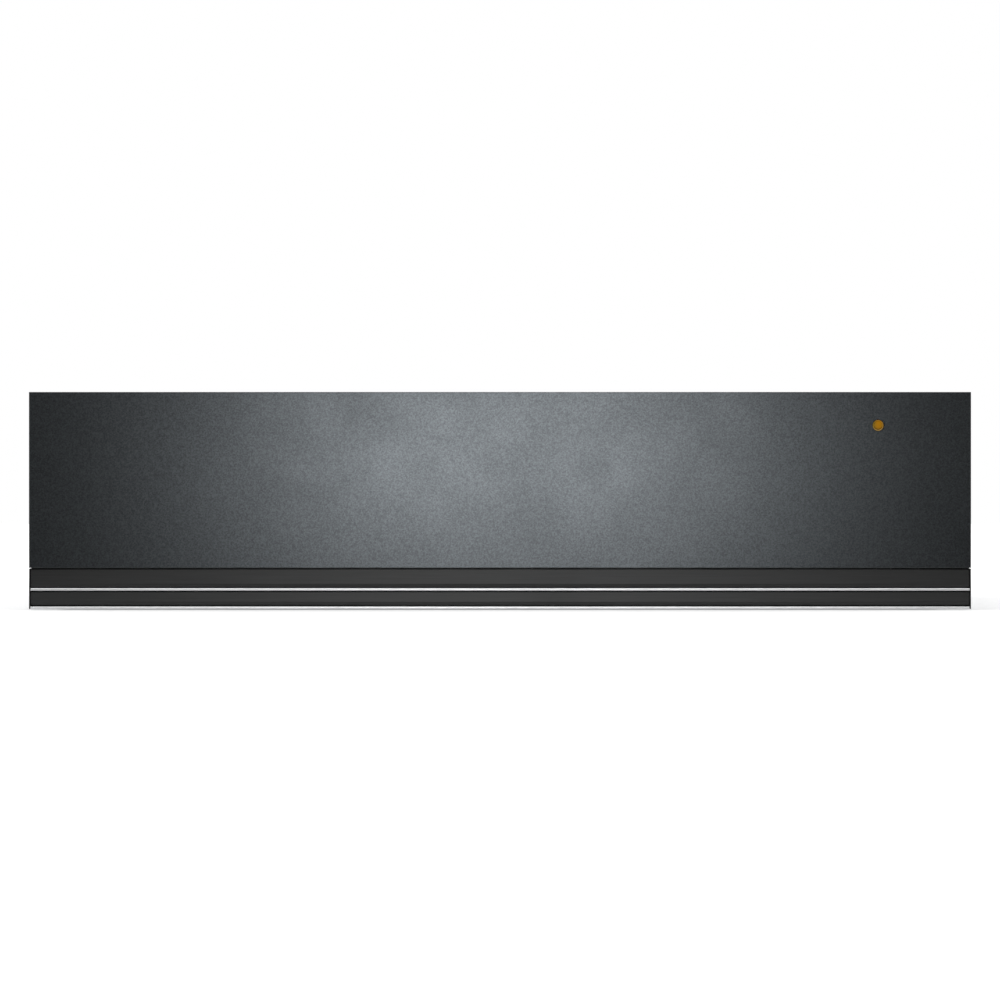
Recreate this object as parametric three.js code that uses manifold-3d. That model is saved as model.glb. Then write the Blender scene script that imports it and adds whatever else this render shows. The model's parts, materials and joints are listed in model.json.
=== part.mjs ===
// Built-in warming drawer for a 600 mm wide kitchen cabinet, 140 mm high, with a handleless glass front.
// Millimetres. X runs to the right seen from the front, Y from the front to the back and Z up.
// The origin lies under the middle of the whole object, on the surface that its feet stand on.

import * as THREE from 'three';
import { mergeVertices } from 'three/addons/utils/BufferGeometryUtils.js';
import Module from 'manifold-3d';

const wasm = await Module();
wasm.setup();

// Space between two pieces that rest on each other, and around a fixed piece in its hole
const seatGap = 0.3;

// Front panel: the glass and the tray that carries it
const frontWidth = 590;
const frontLift = 0.5;
const glassAboveCover = 2.1;
const glassThickness = 4;
const glassBevel = 0.6;
const tapeThickness = 0.7;
const tapeWidth = 12;
const carrierSheet = 1.2;
const carrierLip = 14;

// Trim below the glass, from the top: strip, bar, strip, bar
const glassToTrim = 1;
const trimSpacing = 0.6;
const upperStripHeight = 11;
const lowerStripHeight = 8.1;
const barHeight = 1.9;
const barChamfer = 0.45;
const barSetback = 0.3;
const stripSetback = 1.2;
const stripChamferHeight = 1.9;
const stripChamferDepth = 0.8;
const trimDepth = 7.2;
const endCapThickness = 0.6;

// Operating light in the glass
const indicatorInset = 26.9;
const indicatorDrop = 20.9;
const lensRadius = 3.45;
const lensHoleGap = 0.35;
const lensRecess = 0.15;
const lensCrown = 0.25;
const lensFlangeRadius = 5.5;
const lensFlangeThickness = 2;
const lightPipeRadius = 2.5;
const lightPipeDrop = 15.5;
const lightPipeStandoff = 7;

// Housing that stays in the cabinet
const frontProud = 21;
const housingWidth = 556;
const housingDepth = 516;
const housingHeight = 131;
const housingSheet = 1;
const coverSheet = 1.2;
const sideFlange = 15;
const rearFlange = 8;
const coverLipHeight = 5;
const crossmemberHeight = 3;
const crossmemberDepth = 20;
const crossmemberSetback = 3;
const slotWidth = 4;
const slotLength = 32;
const slotPitch = 11;
const slotsPerGroup = 9;
const rearSlotInset = 148;
const rearSlotDrop = 26.8;
const coverSlotInset = 128;
const coverSlotSetback = 60;

// Rubber feet, each buttoned through the base plate
const footRadius = 10;
const footHeight = 3;
const footStemRadius = 3;
const footHeadRadius = 5;
const footHeadHeight = 1.5;
const footSideInset = 38;
const footFrontInset = 39;
const footRearInset = 37;

// Brackets that screw the housing to the cabinet's sides
const bracketSheet = 1.2;
const bracketHeight = 60;
const bracketRise = 65.4;
const bracketTabReach = 13.7;
const bracketLegDepth = 30;
const bracketHoleReach = 7.5;
const bracketHoleRadius = 2.25;
const bracketHoleSpacing = 36;

// Telescopic ball rails, one each side
const railLength = 450;
const railHeight = 45;
const railThickness = 12.7;
const railSheet = 1.2;
const railSetback = 23;
const railRise = 55.4;
const railOuterFlange = 9.5;
const railRunGap = 0.5;
const railLipClearance = 0.9;
const ballDiameter = 4.3;
const ballClearance = 0.3;
const ballsPerRow = 5;
const cageSheet = 0.6;
const cageLength = 180;
const cageBorder = 9;
const cageRearwards = 4;

// Drawer: outer pan, tub, heated floor
const pushTravel = 2.5;
const pushClearance = 0.9;
const drawerSheet = 1;
const drawerFloorGap = 1;
const controlZoneDepth = 28.3;
const panRearGap = 2.2;
const rearZoneDepth = 36;
const tubSideRim = 25.7;
const tubSheet = 0.8;
const tubCornerRadius = 18;
const tubLedge = 12;
const tubFrontRim = 4;
const glassBaseThickness = 4;
const heaterThickness = 2;
const heaterBorder = 2;
const insulationThickness = 9.2;
const insulationBorder = 8;
const cutoutRadius = 8;
const cutoutHeight = 7;
const cutoutCapRadius = 5;
const cutoutCapHeight = 1.2;
const cutoutX = 60;
const sensorRadius = 2.5;
const sensorLength = 22;
const sensorX = -60;
const pocketMargin = 2.5;

// Controls on the drawer's front rim
const selectorFromLight = 24.8;
const selectorHalf = 6.5;
const selectorHeight = 14;
const selectorShaftRadius = 3;
const selectorShaftRise = 5;
const knobRadius = 9;
const knobHeight = 8;
const knobTopRadius = 8;
const knobBevel = 0.8;
const knobPointerWidth = 1.4;
const knobPointerDepth = 0.6;
const knobToCoverLip = 2.1;
const fasciaLipDrop = 9;
const boardThickness = 1.6;
const boardStandoff = 2;
const boardStandoffRadius = 2.5;
const boardStandoffInset = 5;
const boardWidth = 58;
const boardHeight = 28;
const boardAboveLight = 10;
const boardBesideLight = 10;

// Screws that hold the front panel to the pan
const screwInset = 113.7;
const screwRise = 20.4;
const screwDrop = 16.6;
const screwRadius = 2.2;
const screwHeadRadius = 4.5;
const screwHeadHeight = 2.6;
const screwReach = 2.5;

// Push latch behind the drawer
const strikeWidth = 24;
const strikeHeight = 20;
const strikeThickness = 2;
const latchRise = 55.4;
const latchWidth = 28;
const latchHeight = 24;
const latchStandout = 2.4;
const latchBackWall = 3;
const plungerRadius = 5.2;
const plungerBoreRadius = 3.6;
const plungerHeadLength = 8;
const plungerLength = 25;
const magnetRadius = 4;
const magnetThickness = 2;
const springRadius = 2.6;
const springWire = 0.8;
const springTurns = 7;

// Mains inlet, terminal block and leads
const inletInset = 128;
const inletRise = 30.4;
const inletFlangeWidth = 40;
const inletFlangeHeight = 30;
const inletFlangeThickness = 2.7;
const inletBodyWidth = 28;
const inletBodyHeight = 22;
const inletBodyDepth = 16;
const inletSocketWidth = 24;
const inletSocketHeight = 17;
const inletSocketDepth = 14;
const inletPinWidth = 2;
const inletPinHeight = 4;
const inletPinLength = 8;
const inletPinSpacing = 7;
const inletEarthLift = 3.5;
const inletOuterLift = -2.5;
const terminalInset = 48;
const terminalWidth = 40;
const terminalDepth = 18;
const terminalHeight = 16;
const terminalRidgeHeight = 4;
const terminalRidgeWidth = 8;
const terminalRidgeDepth = 5.4;
const terminalWays = 3;
const terminalRearGap = 9;
const leadDiameter = 5.5;
const leadRise = 85.4;
const leadCoilRadius = 5.9;
const leadCoilPitch = 11.2;
const leadStraight = 18;
const leadBendRadius = 24;
const leadTailInset = 35;
const clampWidth = 12;
const clampWall = 4;
const connectorWidth = 36;
const connectorGrip = 10;
const connectorSpigotRadius = 5;
const connectorSpigotLength = 8;
const connectorSpigotWall = 2.5;
const wiringRadius = 3;
const wiringRise = 46.4;
const wiringBoardInset = 7.2;
const wiringCorner = 25;

// Heights that follow from the stack of pieces
const lowerBarZ = frontLift;
const lowerStripZ = lowerBarZ + barHeight + trimSpacing;
const upperBarZ = lowerStripZ + lowerStripHeight + trimSpacing;
const upperStripZ = upperBarZ + barHeight + trimSpacing;
const glassBottom = upperStripZ + upperStripHeight + glassToTrim;
const baseBottom = footHeight + seatGap;
const baseTop = baseBottom + housingSheet;
const wallBottom = baseTop + seatGap;
const coverTop = baseBottom + housingHeight;
const glassTop = coverTop + glassAboveCover;
const coverBottom = coverTop - coverSheet;
const wallTop = coverBottom - seatGap;
const panBottom = wallBottom + crossmemberHeight + drawerFloorGap;
const panFloorTop = panBottom + drawerSheet;
const insulationBottom = panFloorTop + seatGap;
const insulationTop = insulationBottom + insulationThickness;
const heaterBottom = insulationTop + seatGap;
const heaterTop = heaterBottom + heaterThickness;
const glassBaseBottom = heaterTop + seatGap;
const glassBaseTop = glassBaseBottom + glassBaseThickness;
const rimTop = coverBottom - coverLipHeight - knobToCoverLip - knobHeight - seatGap;
const rimBottom = rimTop - tubSheet;
const panTop = rimBottom - seatGap;
const indicatorZ = glassTop - indicatorDrop;
const lightOutletZ = indicatorZ - lightPipeDrop;
const screwLowerZ = panFloorTop + screwRise;
const screwUpperZ = panTop - screwDrop;
const railCentreZ = wallBottom + railRise;
const bracketCentreZ = wallBottom + bracketRise;
const latchCentreZ = wallBottom + latchRise;
const leadHeight = wallBottom + leadRise;
const inletZ = wallBottom + inletRise;
const rearSlotCentreZ = wallTop - rearSlotDrop;
const wiringHeight = panFloorTop + wiringRise;

// Places from the front to the back, counted from the face of the glass
const carrierFront = glassThickness + tapeThickness + 2 * seatGap;
const carrierBack = frontProud - bracketSheet - pushTravel - pushClearance;
const panFront = carrierBack + seatGap;
const panFrontInner = panFront + drawerSheet;
const tubFront = panFrontInner + controlZoneDepth;
const tubRimFront = tubFront - tubFrontRim;
const housingFront = frontProud;
const housingBack = housingFront + housingDepth;
const rearPanelInner = housingBack - housingSheet;
const panBack = rearPanelInner - rearZoneDepth;
const tubBack = panBack - drawerSheet - panRearGap - tubSheet;
const tubMiddleY = (tubFront + tubBack) / 2;
const overallDepth = housingBack + seatGap + inletFlangeThickness;
const leadY = (panBack + rearPanelInner) / 2;
const railMiddleY = housingFront + railSetback + railLength / 2;

// Places across the width
const frontHalf = frontWidth / 2;
const carrierHalf = frontHalf - endCapThickness - seatGap;
const housingHalf = housingWidth / 2;
const wallInner = housingHalf - housingSheet;
const railOuterX = wallInner - seatGap;
const panHalf = railOuterX - railThickness - seatGap;
const tubHalf = panHalf - tubSideRim;
const flangeInner = wallInner - sideFlange;
const indicatorX = panHalf - indicatorInset;
const selectorX = indicatorX - selectorFromLight;
const boardRight = indicatorX + boardBesideLight;
const wiringBoardX = boardRight - boardWidth + wiringBoardInset;
const screwX = panHalf - screwInset;
const footX = housingHalf - footSideInset;
const inletX = housingHalf - inletInset;
const terminalX = housingHalf - terminalInset;
const rearSlotCentreX = housingHalf - rearSlotInset;
const coverSlotCentreX = housingHalf - coverSlotInset;
const leadTailX = housingHalf - leadTailInset;
const spigotX = -(panHalf + tubHalf) / 2;

// Finishes
const finishes = {
  glass: new THREE.MeshStandardMaterial({ color: 0x4b5357, roughness: 0.35, metalness: 0.3 }),
  anodised: new THREE.MeshStandardMaterial({ color: 0x2f3030, roughness: 0.45, metalness: 0.6 }),
  polished: new THREE.MeshStandardMaterial({ color: 0xd9dcde, roughness: 0.15, metalness: 1 }),
  blackSteel: new THREE.MeshStandardMaterial({ color: 0x161718, roughness: 0.5, metalness: 0.4 }),
  galvanised: new THREE.MeshStandardMaterial({ color: 0xa9adb0, roughness: 0.45, metalness: 0.9 }),
  stainless: new THREE.MeshStandardMaterial({ color: 0xb9bbbc, roughness: 0.3, metalness: 1 }),
  zincSteel: new THREE.MeshStandardMaterial({ color: 0xc2c5c8, roughness: 0.25, metalness: 1 }),
  heatedGlass: new THREE.MeshStandardMaterial({ color: 0x1c1e20, roughness: 0.2, metalness: 0 }),
  amber: new THREE.MeshStandardMaterial({ color: 0xa8740c, roughness: 0.25, metalness: 0 }),
  clear: new THREE.MeshStandardMaterial({ color: 0xdfe6e8, roughness: 0.1, metalness: 0 }),
  blackPlastic: new THREE.MeshStandardMaterial({ color: 0x1b1b1c, roughness: 0.5, metalness: 0 }),
  greyPlastic: new THREE.MeshStandardMaterial({ color: 0x8d9093, roughness: 0.5, metalness: 0 }),
  rubber: new THREE.MeshStandardMaterial({ color: 0x222222, roughness: 0.85, metalness: 0 }),
  silicone: new THREE.MeshStandardMaterial({ color: 0xb0532c, roughness: 0.7, metalness: 0 }),
  mineralWool: new THREE.MeshStandardMaterial({ color: 0xc9bd9a, roughness: 1, metalness: 0 }),
  board: new THREE.MeshStandardMaterial({ color: 0x1f5a3a, roughness: 0.5, metalness: 0 })
};

// Closed geometry to solid and back, for joining and cutting
function toSolid(geometry) {
  const bare = geometry.clone();
  bare.deleteAttribute('normal');
  bare.deleteAttribute('uv');
  const closed = mergeVertices(bare, 1e-4);
  const vertProperties = new Float32Array(closed.attributes.position.array);
  const triVerts = new Uint32Array(closed.index.array);
  return new wasm.Manifold(new wasm.Mesh({ numProp: 3, vertProperties, triVerts }));
}

function fromSolid(solid) {
  const mesh = solid.getMesh();
  const geometry = new THREE.BufferGeometry();
  geometry.setAttribute('position', new THREE.BufferAttribute(mesh.vertProperties, 3));
  geometry.setIndex(new THREE.BufferAttribute(mesh.triVerts, 1));
  geometry.computeVertexNormals();
  return geometry;
}

function join(...geometries) {
  return fromSolid(geometries.map(toSolid).reduce((whole, piece) => whole.add(piece)));
}

function cut(geometry, ...tools) {
  return fromSolid(tools.map(toSolid).reduce((left, tool) => left.subtract(tool), toSolid(geometry)));
}

// A block between the low and high ends of x, y and z
function block(x, y, z) {
  const geometry = new THREE.BoxGeometry(x[1] - x[0], y[1] - y[0], z[1] - z[0]);
  return geometry.translate((x[0] + x[1]) / 2, (y[0] + y[1]) / 2, (z[0] + z[1]) / 2);
}

// The low and high ends of a size about its middle
function centred(middle, size) {
  return [middle - size / 2, middle + size / 2];
}

// A round bar along one axis; centre holds the other two coordinates in X, Y, Z order
function rod(axis, radius, centre, span, sides = 24) {
  const geometry = new THREE.CylinderGeometry(radius, radius, span[1] - span[0], sides);
  geometry.translate(0, (span[0] + span[1]) / 2, 0);
  if (axis === 'x') {
    return geometry.rotateZ(-Math.PI / 2).translate(0, centre[0], centre[1]);
  }
  if (axis === 'z') {
    return geometry.rotateX(Math.PI / 2).translate(centre[0], centre[1], 0);
  }
  return geometry.translate(centre[0], 0, centre[1]);
}

function outline(points) {
  return new THREE.Shape(points.map(([across, up]) => new THREE.Vector2(across, up)));
}

function roundedRectangle(path, x, y, radius) {
  path.moveTo(x[0] + radius, y[0]);
  path.lineTo(x[1] - radius, y[0]);
  path.absarc(x[1] - radius, y[0] + radius, radius, -Math.PI / 2, 0);
  path.lineTo(x[1], y[1] - radius);
  path.absarc(x[1] - radius, y[1] - radius, radius, 0, Math.PI / 2);
  path.lineTo(x[0] + radius, y[1]);
  path.absarc(x[0] + radius, y[1] - radius, radius, Math.PI / 2, Math.PI);
  path.lineTo(x[0], y[0] + radius);
  path.absarc(x[0] + radius, y[0] + radius, radius, Math.PI, Math.PI * 1.5);
  return path;
}

function rectangle(path, x, y) {
  path.moveTo(x[0], y[0]);
  path.lineTo(x[1], y[0]);
  path.lineTo(x[1], y[1]);
  path.lineTo(x[0], y[1]);
  path.closePath();
  return path;
}

// Extrusions of a flat outline: upwards from XY, along X from YZ, and along Y from XZ
function extrudeUp(shape, z) {
  const options = { depth: z[1] - z[0], bevelEnabled: false, curveSegments: 5 };
  return new THREE.ExtrudeGeometry(shape, options).translate(0, 0, z[0]);
}

function extrudeAlongX(shape, x) {
  const turn = new THREE.Matrix4().makeBasis(
    new THREE.Vector3(0, 1, 0), new THREE.Vector3(0, 0, 1), new THREE.Vector3(1, 0, 0)
  );
  const geometry = new THREE.ExtrudeGeometry(shape, { depth: x[1] - x[0], bevelEnabled: false });
  return geometry.applyMatrix4(turn).translate(x[0], 0, 0);
}

function extrudeAlongY(shape, y) {
  const turn = new THREE.Matrix4().makeBasis(
    new THREE.Vector3(1, 0, 0), new THREE.Vector3(0, 0, 1), new THREE.Vector3(0, -1, 0)
  );
  const geometry = new THREE.ExtrudeGeometry(shape, { depth: y[1] - y[0], bevelEnabled: false });
  return geometry.applyMatrix4(turn).translate(0, y[1], 0);
}

// A turned piece whose profile lists [radius, height] pairs; its axis is Z, or Y with axis 'y'
function turned(profile, axis = 'z', sides = 24) {
  const points = profile.map(([radius, along]) => new THREE.Vector2(radius, along));
  const geometry = new THREE.LatheGeometry(points, sides);
  return axis === 'z' ? geometry.rotateX(Math.PI / 2) : geometry;
}

// A tube through points, closed by flat ends, whose section turns with the path without twisting
function tubeThrough(points, radius, sides) {
  const positions = [];
  const faces = [];
  const normal = new THREE.Vector3();
  points.forEach((point, step) => {
    const before = points[Math.max(step - 1, 0)];
    const after = points[Math.min(step + 1, points.length - 1)];
    const tangent = after.clone().sub(before).normalize();
    if (step === 0) {
      normal.set(tangent.y, tangent.z, tangent.x).cross(tangent).normalize();
    }
    normal.addScaledVector(tangent, -normal.dot(tangent)).normalize();
    const side = tangent.clone().cross(normal);
    for (let corner = 0; corner < sides; corner += 1) {
      const angle = (corner / sides) * Math.PI * 2;
      const rim = point.clone();
      rim.addScaledVector(normal, Math.cos(angle) * radius);
      rim.addScaledVector(side, Math.sin(angle) * radius);
      positions.push(rim.x, rim.y, rim.z);
    }
  });
  const lastRing = (points.length - 1) * sides;
  for (let ring = 0; ring < lastRing; ring += sides) {
    for (let corner = 0; corner < sides; corner += 1) {
      const next = (corner + 1) % sides;
      faces.push(ring + corner, ring + next, ring + sides + corner);
      faces.push(ring + next, ring + sides + next, ring + sides + corner);
    }
  }
  for (let corner = 1; corner < sides - 1; corner += 1) {
    faces.push(0, corner + 1, corner);
    faces.push(lastRing, lastRing + corner, lastRing + corner + 1);
  }
  const geometry = new THREE.BufferGeometry();
  geometry.setAttribute('position', new THREE.Float32BufferAttribute(positions, 3));
  geometry.setIndex(faces);
  geometry.computeVertexNormals();
  return geometry;
}

// The least space that a wound tube leaves to its own neighbouring turns
function leastGapToItself(points, radius, stepsPerTurn) {
  const apart = Math.ceil(stepsPerTurn * 0.75);
  let least = Infinity;
  points.forEach((point, step) => {
    points.slice(step + apart).forEach((other) => {
      least = Math.min(least, point.distanceTo(other) - 2 * radius);
    });
  });
  return least;
}

// Points of a helix about a straight line from start along direction, its radius rising and falling
// over the first and last turn
function helixPoints({ start, direction, across, span, radius, turns, stepsPerTurn, eased }) {
  const upwards = direction.clone().cross(across);
  const steps = turns * stepsPerTurn;
  const points = [];
  for (let step = 0; step <= steps; step += 1) {
    const turn = step / stepsPerTurn;
    const ease = eased ? Math.min(turn, turns - turn, 1) : 1;
    const angle = turn * Math.PI * 2;
    const point = start.clone().addScaledVector(direction, (span * step) / steps);
    point.addScaledVector(across, Math.cos(angle) * radius * ease);
    point.addScaledVector(upwards, Math.sin(angle) * radius * ease);
    points.push(point);
  }
  return points;
}

// Two ends on one side of the middle plane, from the lower to the higher
function sideSpan(side, inner, outer) {
  return side > 0 ? [inner, outer] : [-outer, -inner];
}

const sides = [
  { side: -1, word: 'left' },
  { side: 1, word: 'right' }
];

function piece(parent, name, geometry, finish) {
  const mesh = new THREE.Mesh(geometry, finish);
  mesh.name = name;
  parent.add(mesh);
  return mesh;
}

// Everything below is placed from the face of the glass at y = 0, and this group centres it
const appliance = new THREE.Group();
appliance.position.y = -overallDepth / 2;

const screwPlaces = [
  [-screwX, screwLowerZ],
  [screwX, screwLowerZ],
  [-screwX, screwUpperZ],
  [screwX, screwUpperZ]
];

function makeFrontGlass() {
  const shape = new THREE.Shape();
  rectangle(shape, [-frontHalf, frontHalf], [glassBottom, glassTop]);
  const hole = new THREE.Path();
  hole.absarc(indicatorX, indicatorZ, lensRadius + lensHoleGap, 0, Math.PI * 2, true);
  shape.holes.push(hole);
  const geometry = new THREE.ExtrudeGeometry(shape, {
    depth: glassThickness - 2 * glassBevel,
    bevelThickness: glassBevel,
    bevelSize: glassBevel,
    bevelOffset: -glassBevel,
    bevelSegments: 1,
    curveSegments: 24
  });
  geometry.rotateX(Math.PI / 2);
  return geometry.translate(0, glassThickness - glassBevel, 0);
}

function makeBondingTape() {
  const half = carrierHalf - carrierSheet;
  const z = [glassBottom + carrierSheet, glassTop - carrierSheet];
  const shape = rectangle(new THREE.Shape(), [-half, half], z);
  const inner = [z[0] + tapeWidth, z[1] - tapeWidth];
  shape.holes.push(rectangle(new THREE.Path(), [tapeWidth - half, half - tapeWidth], inner));
  const front = glassThickness + seatGap;
  return extrudeAlongY(shape, [front, front + tapeThickness]);
}

function makeFrontCarrier() {
  const wide = [-carrierHalf, carrierHalf];
  const bottom = frontLift + seatGap;
  const top = glassTop - endCapThickness - seatGap;
  const stepZ = glassBottom + seatGap;
  const webFront = trimDepth + seatGap;
  const web = [webFront, webFront + carrierSheet];
  const lip = [carrierFront, carrierFront + carrierSheet];
  const back = [carrierBack - carrierSheet, carrierBack];
  const rings = rectangle(new THREE.Shape(), wide, [stepZ, top]);
  const windowX = [carrierLip - carrierHalf, carrierHalf - carrierLip];
  rings.holes.push(rectangle(new THREE.Path(), windowX, [stepZ + carrierLip, top - carrierLip]));
  const walls = sides.flatMap(({ side }) => {
    const x = sideSpan(side, carrierHalf - carrierSheet, carrierHalf);
    return [
      block(x, [carrierFront, carrierBack], [stepZ, top]),
      block(x, [webFront, carrierBack], [bottom, top])
    ];
  });
  const tray = join(
    extrudeAlongY(rings, lip),
    block(wide, back, [bottom, top]),
    block(wide, web, [bottom, stepZ + carrierSheet]),
    block(wide, [carrierFront, web[1]], [stepZ, stepZ + carrierSheet]),
    block(wide, [carrierFront, carrierBack], [top - carrierSheet, top]),
    block(wide, [webFront, carrierBack], [bottom, bottom + carrierSheet]),
    ...walls
  );
  const through = [back[0] - carrierSheet, back[1] + carrierSheet];
  const screwHoles = screwPlaces.map((place) => rod('y', screwRadius + seatGap, place, through, 16));
  const lightHole = rod('y', lightPipeRadius + seatGap, [indicatorX, lightOutletZ], through, 16);
  return cut(tray, ...screwHoles, lightHole);
}

function makeStrip(bottom, height) {
  const front = stripSetback;
  const shape = outline([
    [front + stripChamferDepth, bottom],
    [trimDepth, bottom],
    [trimDepth, bottom + height],
    [front, bottom + height],
    [front, bottom + stripChamferHeight]
  ]);
  return extrudeAlongX(shape, [-carrierHalf, carrierHalf]);
}

function makeBar(bottom) {
  const shape = outline([
    [barSetback + barChamfer, bottom],
    [trimDepth, bottom],
    [trimDepth, bottom + barHeight],
    [barSetback + barChamfer, bottom + barHeight],
    [barSetback, bottom + barHeight - barChamfer],
    [barSetback, bottom + barChamfer]
  ]);
  return extrudeAlongX(shape, [-carrierHalf, carrierHalf]);
}

function makeIndicatorLens() {
  const flangeFront = glassThickness + seatGap;
  const profile = [
    [0, lensRecess],
    [lensRadius * 0.6, lensRecess + lensCrown * 0.4],
    [lensRadius, lensRecess + lensCrown],
    [lensRadius, flangeFront],
    [lensFlangeRadius, flangeFront],
    [lensFlangeRadius, flangeFront + lensFlangeThickness],
    [0, flangeFront + lensFlangeThickness]
  ];
  return turned(profile, 'y').translate(indicatorX, 0, indicatorZ);
}

function makeLightPipe() {
  const start = glassThickness + lensFlangeThickness + 2 * seatGap;
  const riser = [start + lightPipeStandoff - 2 * lightPipeRadius, start + lightPipeStandoff];
  const end = panFrontInner + boardStandoff;
  const x = [indicatorX - lightPipeRadius, indicatorX + lightPipeRadius];
  return join(
    rod('y', lightPipeRadius, [indicatorX, indicatorZ], [start, riser[1]], 16),
    block(x, riser, [lightOutletZ - lightPipeRadius, indicatorZ + lightPipeRadius]),
    rod('y', lightPipeRadius, [indicatorX, lightOutletZ], [riser[0], end], 16)
  );
}

function makeScrew() {
  const headFront = panFrontInner + seatGap;
  const tip = carrierBack - carrierSheet - screwReach;
  const profile = [
    [0, tip],
    [screwRadius, tip + screwRadius * 0.4],
    [screwRadius, headFront],
    [screwHeadRadius, headFront],
    [screwHeadRadius, headFront + screwHeadHeight * 0.5],
    [screwHeadRadius * 0.6, headFront + screwHeadHeight],
    [0, headFront + screwHeadHeight]
  ];
  return turned(profile, 'y', 16);
}

const front = new THREE.Group();
appliance.add(front);
piece(front, 'front_glass', makeFrontGlass(), finishes.glass);
piece(front, 'bonding_tape', makeBondingTape(), finishes.rubber);
piece(front, 'front_carrier', makeFrontCarrier(), finishes.blackSteel);
piece(front, 'trim_strip_upper', makeStrip(upperStripZ, upperStripHeight), finishes.anodised);
piece(front, 'trim_strip_lower', makeStrip(lowerStripZ, lowerStripHeight), finishes.anodised);
piece(front, 'bright_bar_upper', makeBar(upperBarZ), finishes.polished);
piece(front, 'bright_bar_lower', makeBar(lowerBarZ), finishes.polished);
for (const { side, word } of sides) {
  const x = sideSpan(side, frontHalf - endCapThickness, frontHalf);
  const cap = block(x, [barSetback, carrierBack], [frontLift, glassBottom - seatGap]);
  piece(front, `end_cap_${word}`, cap, finishes.blackSteel);
}
piece(front, 'indicator_lens', makeIndicatorLens(), finishes.amber);
piece(front, 'indicator_light_pipe', makeLightPipe(), finishes.clear);
screwPlaces.forEach(([x, z], index) => {
  const screw = piece(front, `front_fixing_screw_${index + 1}`, makeScrew(), finishes.zincSteel);
  screw.position.set(x, 0, z);
});

function makeDrawerPan() {
  const wide = [-panHalf, panHalf];
  const deep = [panFront, panBack];
  const high = [panBottom, panTop];
  const pan = cut(
    block(wide, deep, high),
    block(
      [drawerSheet - panHalf, panHalf - drawerSheet],
      [panFrontInner, panBack - drawerSheet],
      [panFloorTop, panTop + drawerSheet]
    )
  );
  const frontHoles = [panFront - drawerSheet, panFrontInner + drawerSheet];
  const backHoles = [panBack - 2 * drawerSheet, panBack + drawerSheet];
  const spigotPlace = [spigotX, leadHeight];
  return cut(
    pan,
    ...screwPlaces.map((place) => rod('y', screwRadius + seatGap, place, frontHoles, 16)),
    rod('y', lightPipeRadius + seatGap, [indicatorX, lightOutletZ], frontHoles, 16),
    rod('y', connectorSpigotRadius + seatGap, spigotPlace, backHoles, 16)
  );
}

// Rounded outline of the tub's inside, grown or shrunk by an offset
function tubOutline(path, offset) {
  const x = [-tubHalf - offset, tubHalf + offset];
  const y = [tubFront - offset, tubBack + offset];
  return roundedRectangle(path, x, y, tubCornerRadius + offset);
}

function tubRing(outerShape, innerOffset, z) {
  outerShape.holes.push(tubOutline(new THREE.Path(), innerOffset));
  return extrudeUp(outerShape, z);
}

function makeTub() {
  const ledge = [glassBaseBottom - seatGap - tubSheet, glassBaseBottom - seatGap];
  const rimOutline = rectangle(new THREE.Shape(), [-panHalf, panHalf], [tubRimFront, panBack]);
  return join(
    tubRing(tubOutline(new THREE.Shape(), tubSheet), 0, [ledge[0], rimTop]),
    tubRing(tubOutline(new THREE.Shape(), tubSheet), -tubLedge, ledge),
    tubRing(rimOutline, 0, [rimBottom, rimTop])
  );
}

function makeGlassBase() {
  return extrudeUp(tubOutline(new THREE.Shape(), -seatGap), [glassBaseBottom, glassBaseTop]);
}

function makeHeaterMat() {
  return extrudeUp(tubOutline(new THREE.Shape(), -tubLedge - heaterBorder), [heaterBottom, heaterTop]);
}

function makeInsulationMat() {
  const mat = extrudeUp(
    tubOutline(new THREE.Shape(), -insulationBorder), [insulationBottom, insulationTop]
  );
  const through = [insulationBottom - seatGap, insulationTop + seatGap];
  const cutoutPocket = cutoutRadius + pocketMargin;
  const sensorPocket = [sensorLength / 2 + pocketMargin, sensorRadius + pocketMargin];
  return cut(
    mat,
    block(
      [cutoutX - cutoutPocket, cutoutX + cutoutPocket],
      [tubMiddleY - cutoutPocket, tubMiddleY + cutoutPocket],
      through
    ),
    block(
      [sensorX - sensorPocket[0], sensorX + sensorPocket[0]],
      [tubMiddleY - sensorPocket[1], tubMiddleY + sensorPocket[1]],
      through
    )
  );
}

function makeThermalCutout() {
  const top = heaterBottom - seatGap;
  const shoulder = top - cutoutCapHeight;
  const profile = [
    [0, top - cutoutHeight],
    [cutoutRadius, top - cutoutHeight],
    [cutoutRadius, shoulder],
    [cutoutCapRadius, top],
    [0, top]
  ];
  return turned(profile).translate(cutoutX, tubMiddleY, 0);
}

function makeTemperatureSensor() {
  const z = heaterBottom - seatGap - sensorRadius;
  const reach = sensorLength / 2;
  return rod('x', sensorRadius, [tubMiddleY, z], [sensorX - reach, sensorX + reach], 16);
}

const drawer = new THREE.Group();
appliance.add(drawer);
piece(drawer, 'drawer_pan', makeDrawerPan(), finishes.galvanised);
piece(drawer, 'tub', makeTub(), finishes.stainless);
piece(drawer, 'glass_base', makeGlassBase(), finishes.heatedGlass);
piece(drawer, 'heater_mat', makeHeaterMat(), finishes.silicone);
piece(drawer, 'insulation_mat', makeInsulationMat(), finishes.mineralWool);
piece(drawer, 'thermal_cutout', makeThermalCutout(), finishes.zincSteel);
piece(drawer, 'temperature_sensor', makeTemperatureSensor(), finishes.zincSteel);

const fasciaY = [panFront, tubRimFront - seatGap];
const knobY = (fasciaY[0] + fasciaY[1]) / 2;
const knobBottom = rimTop + seatGap;

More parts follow.
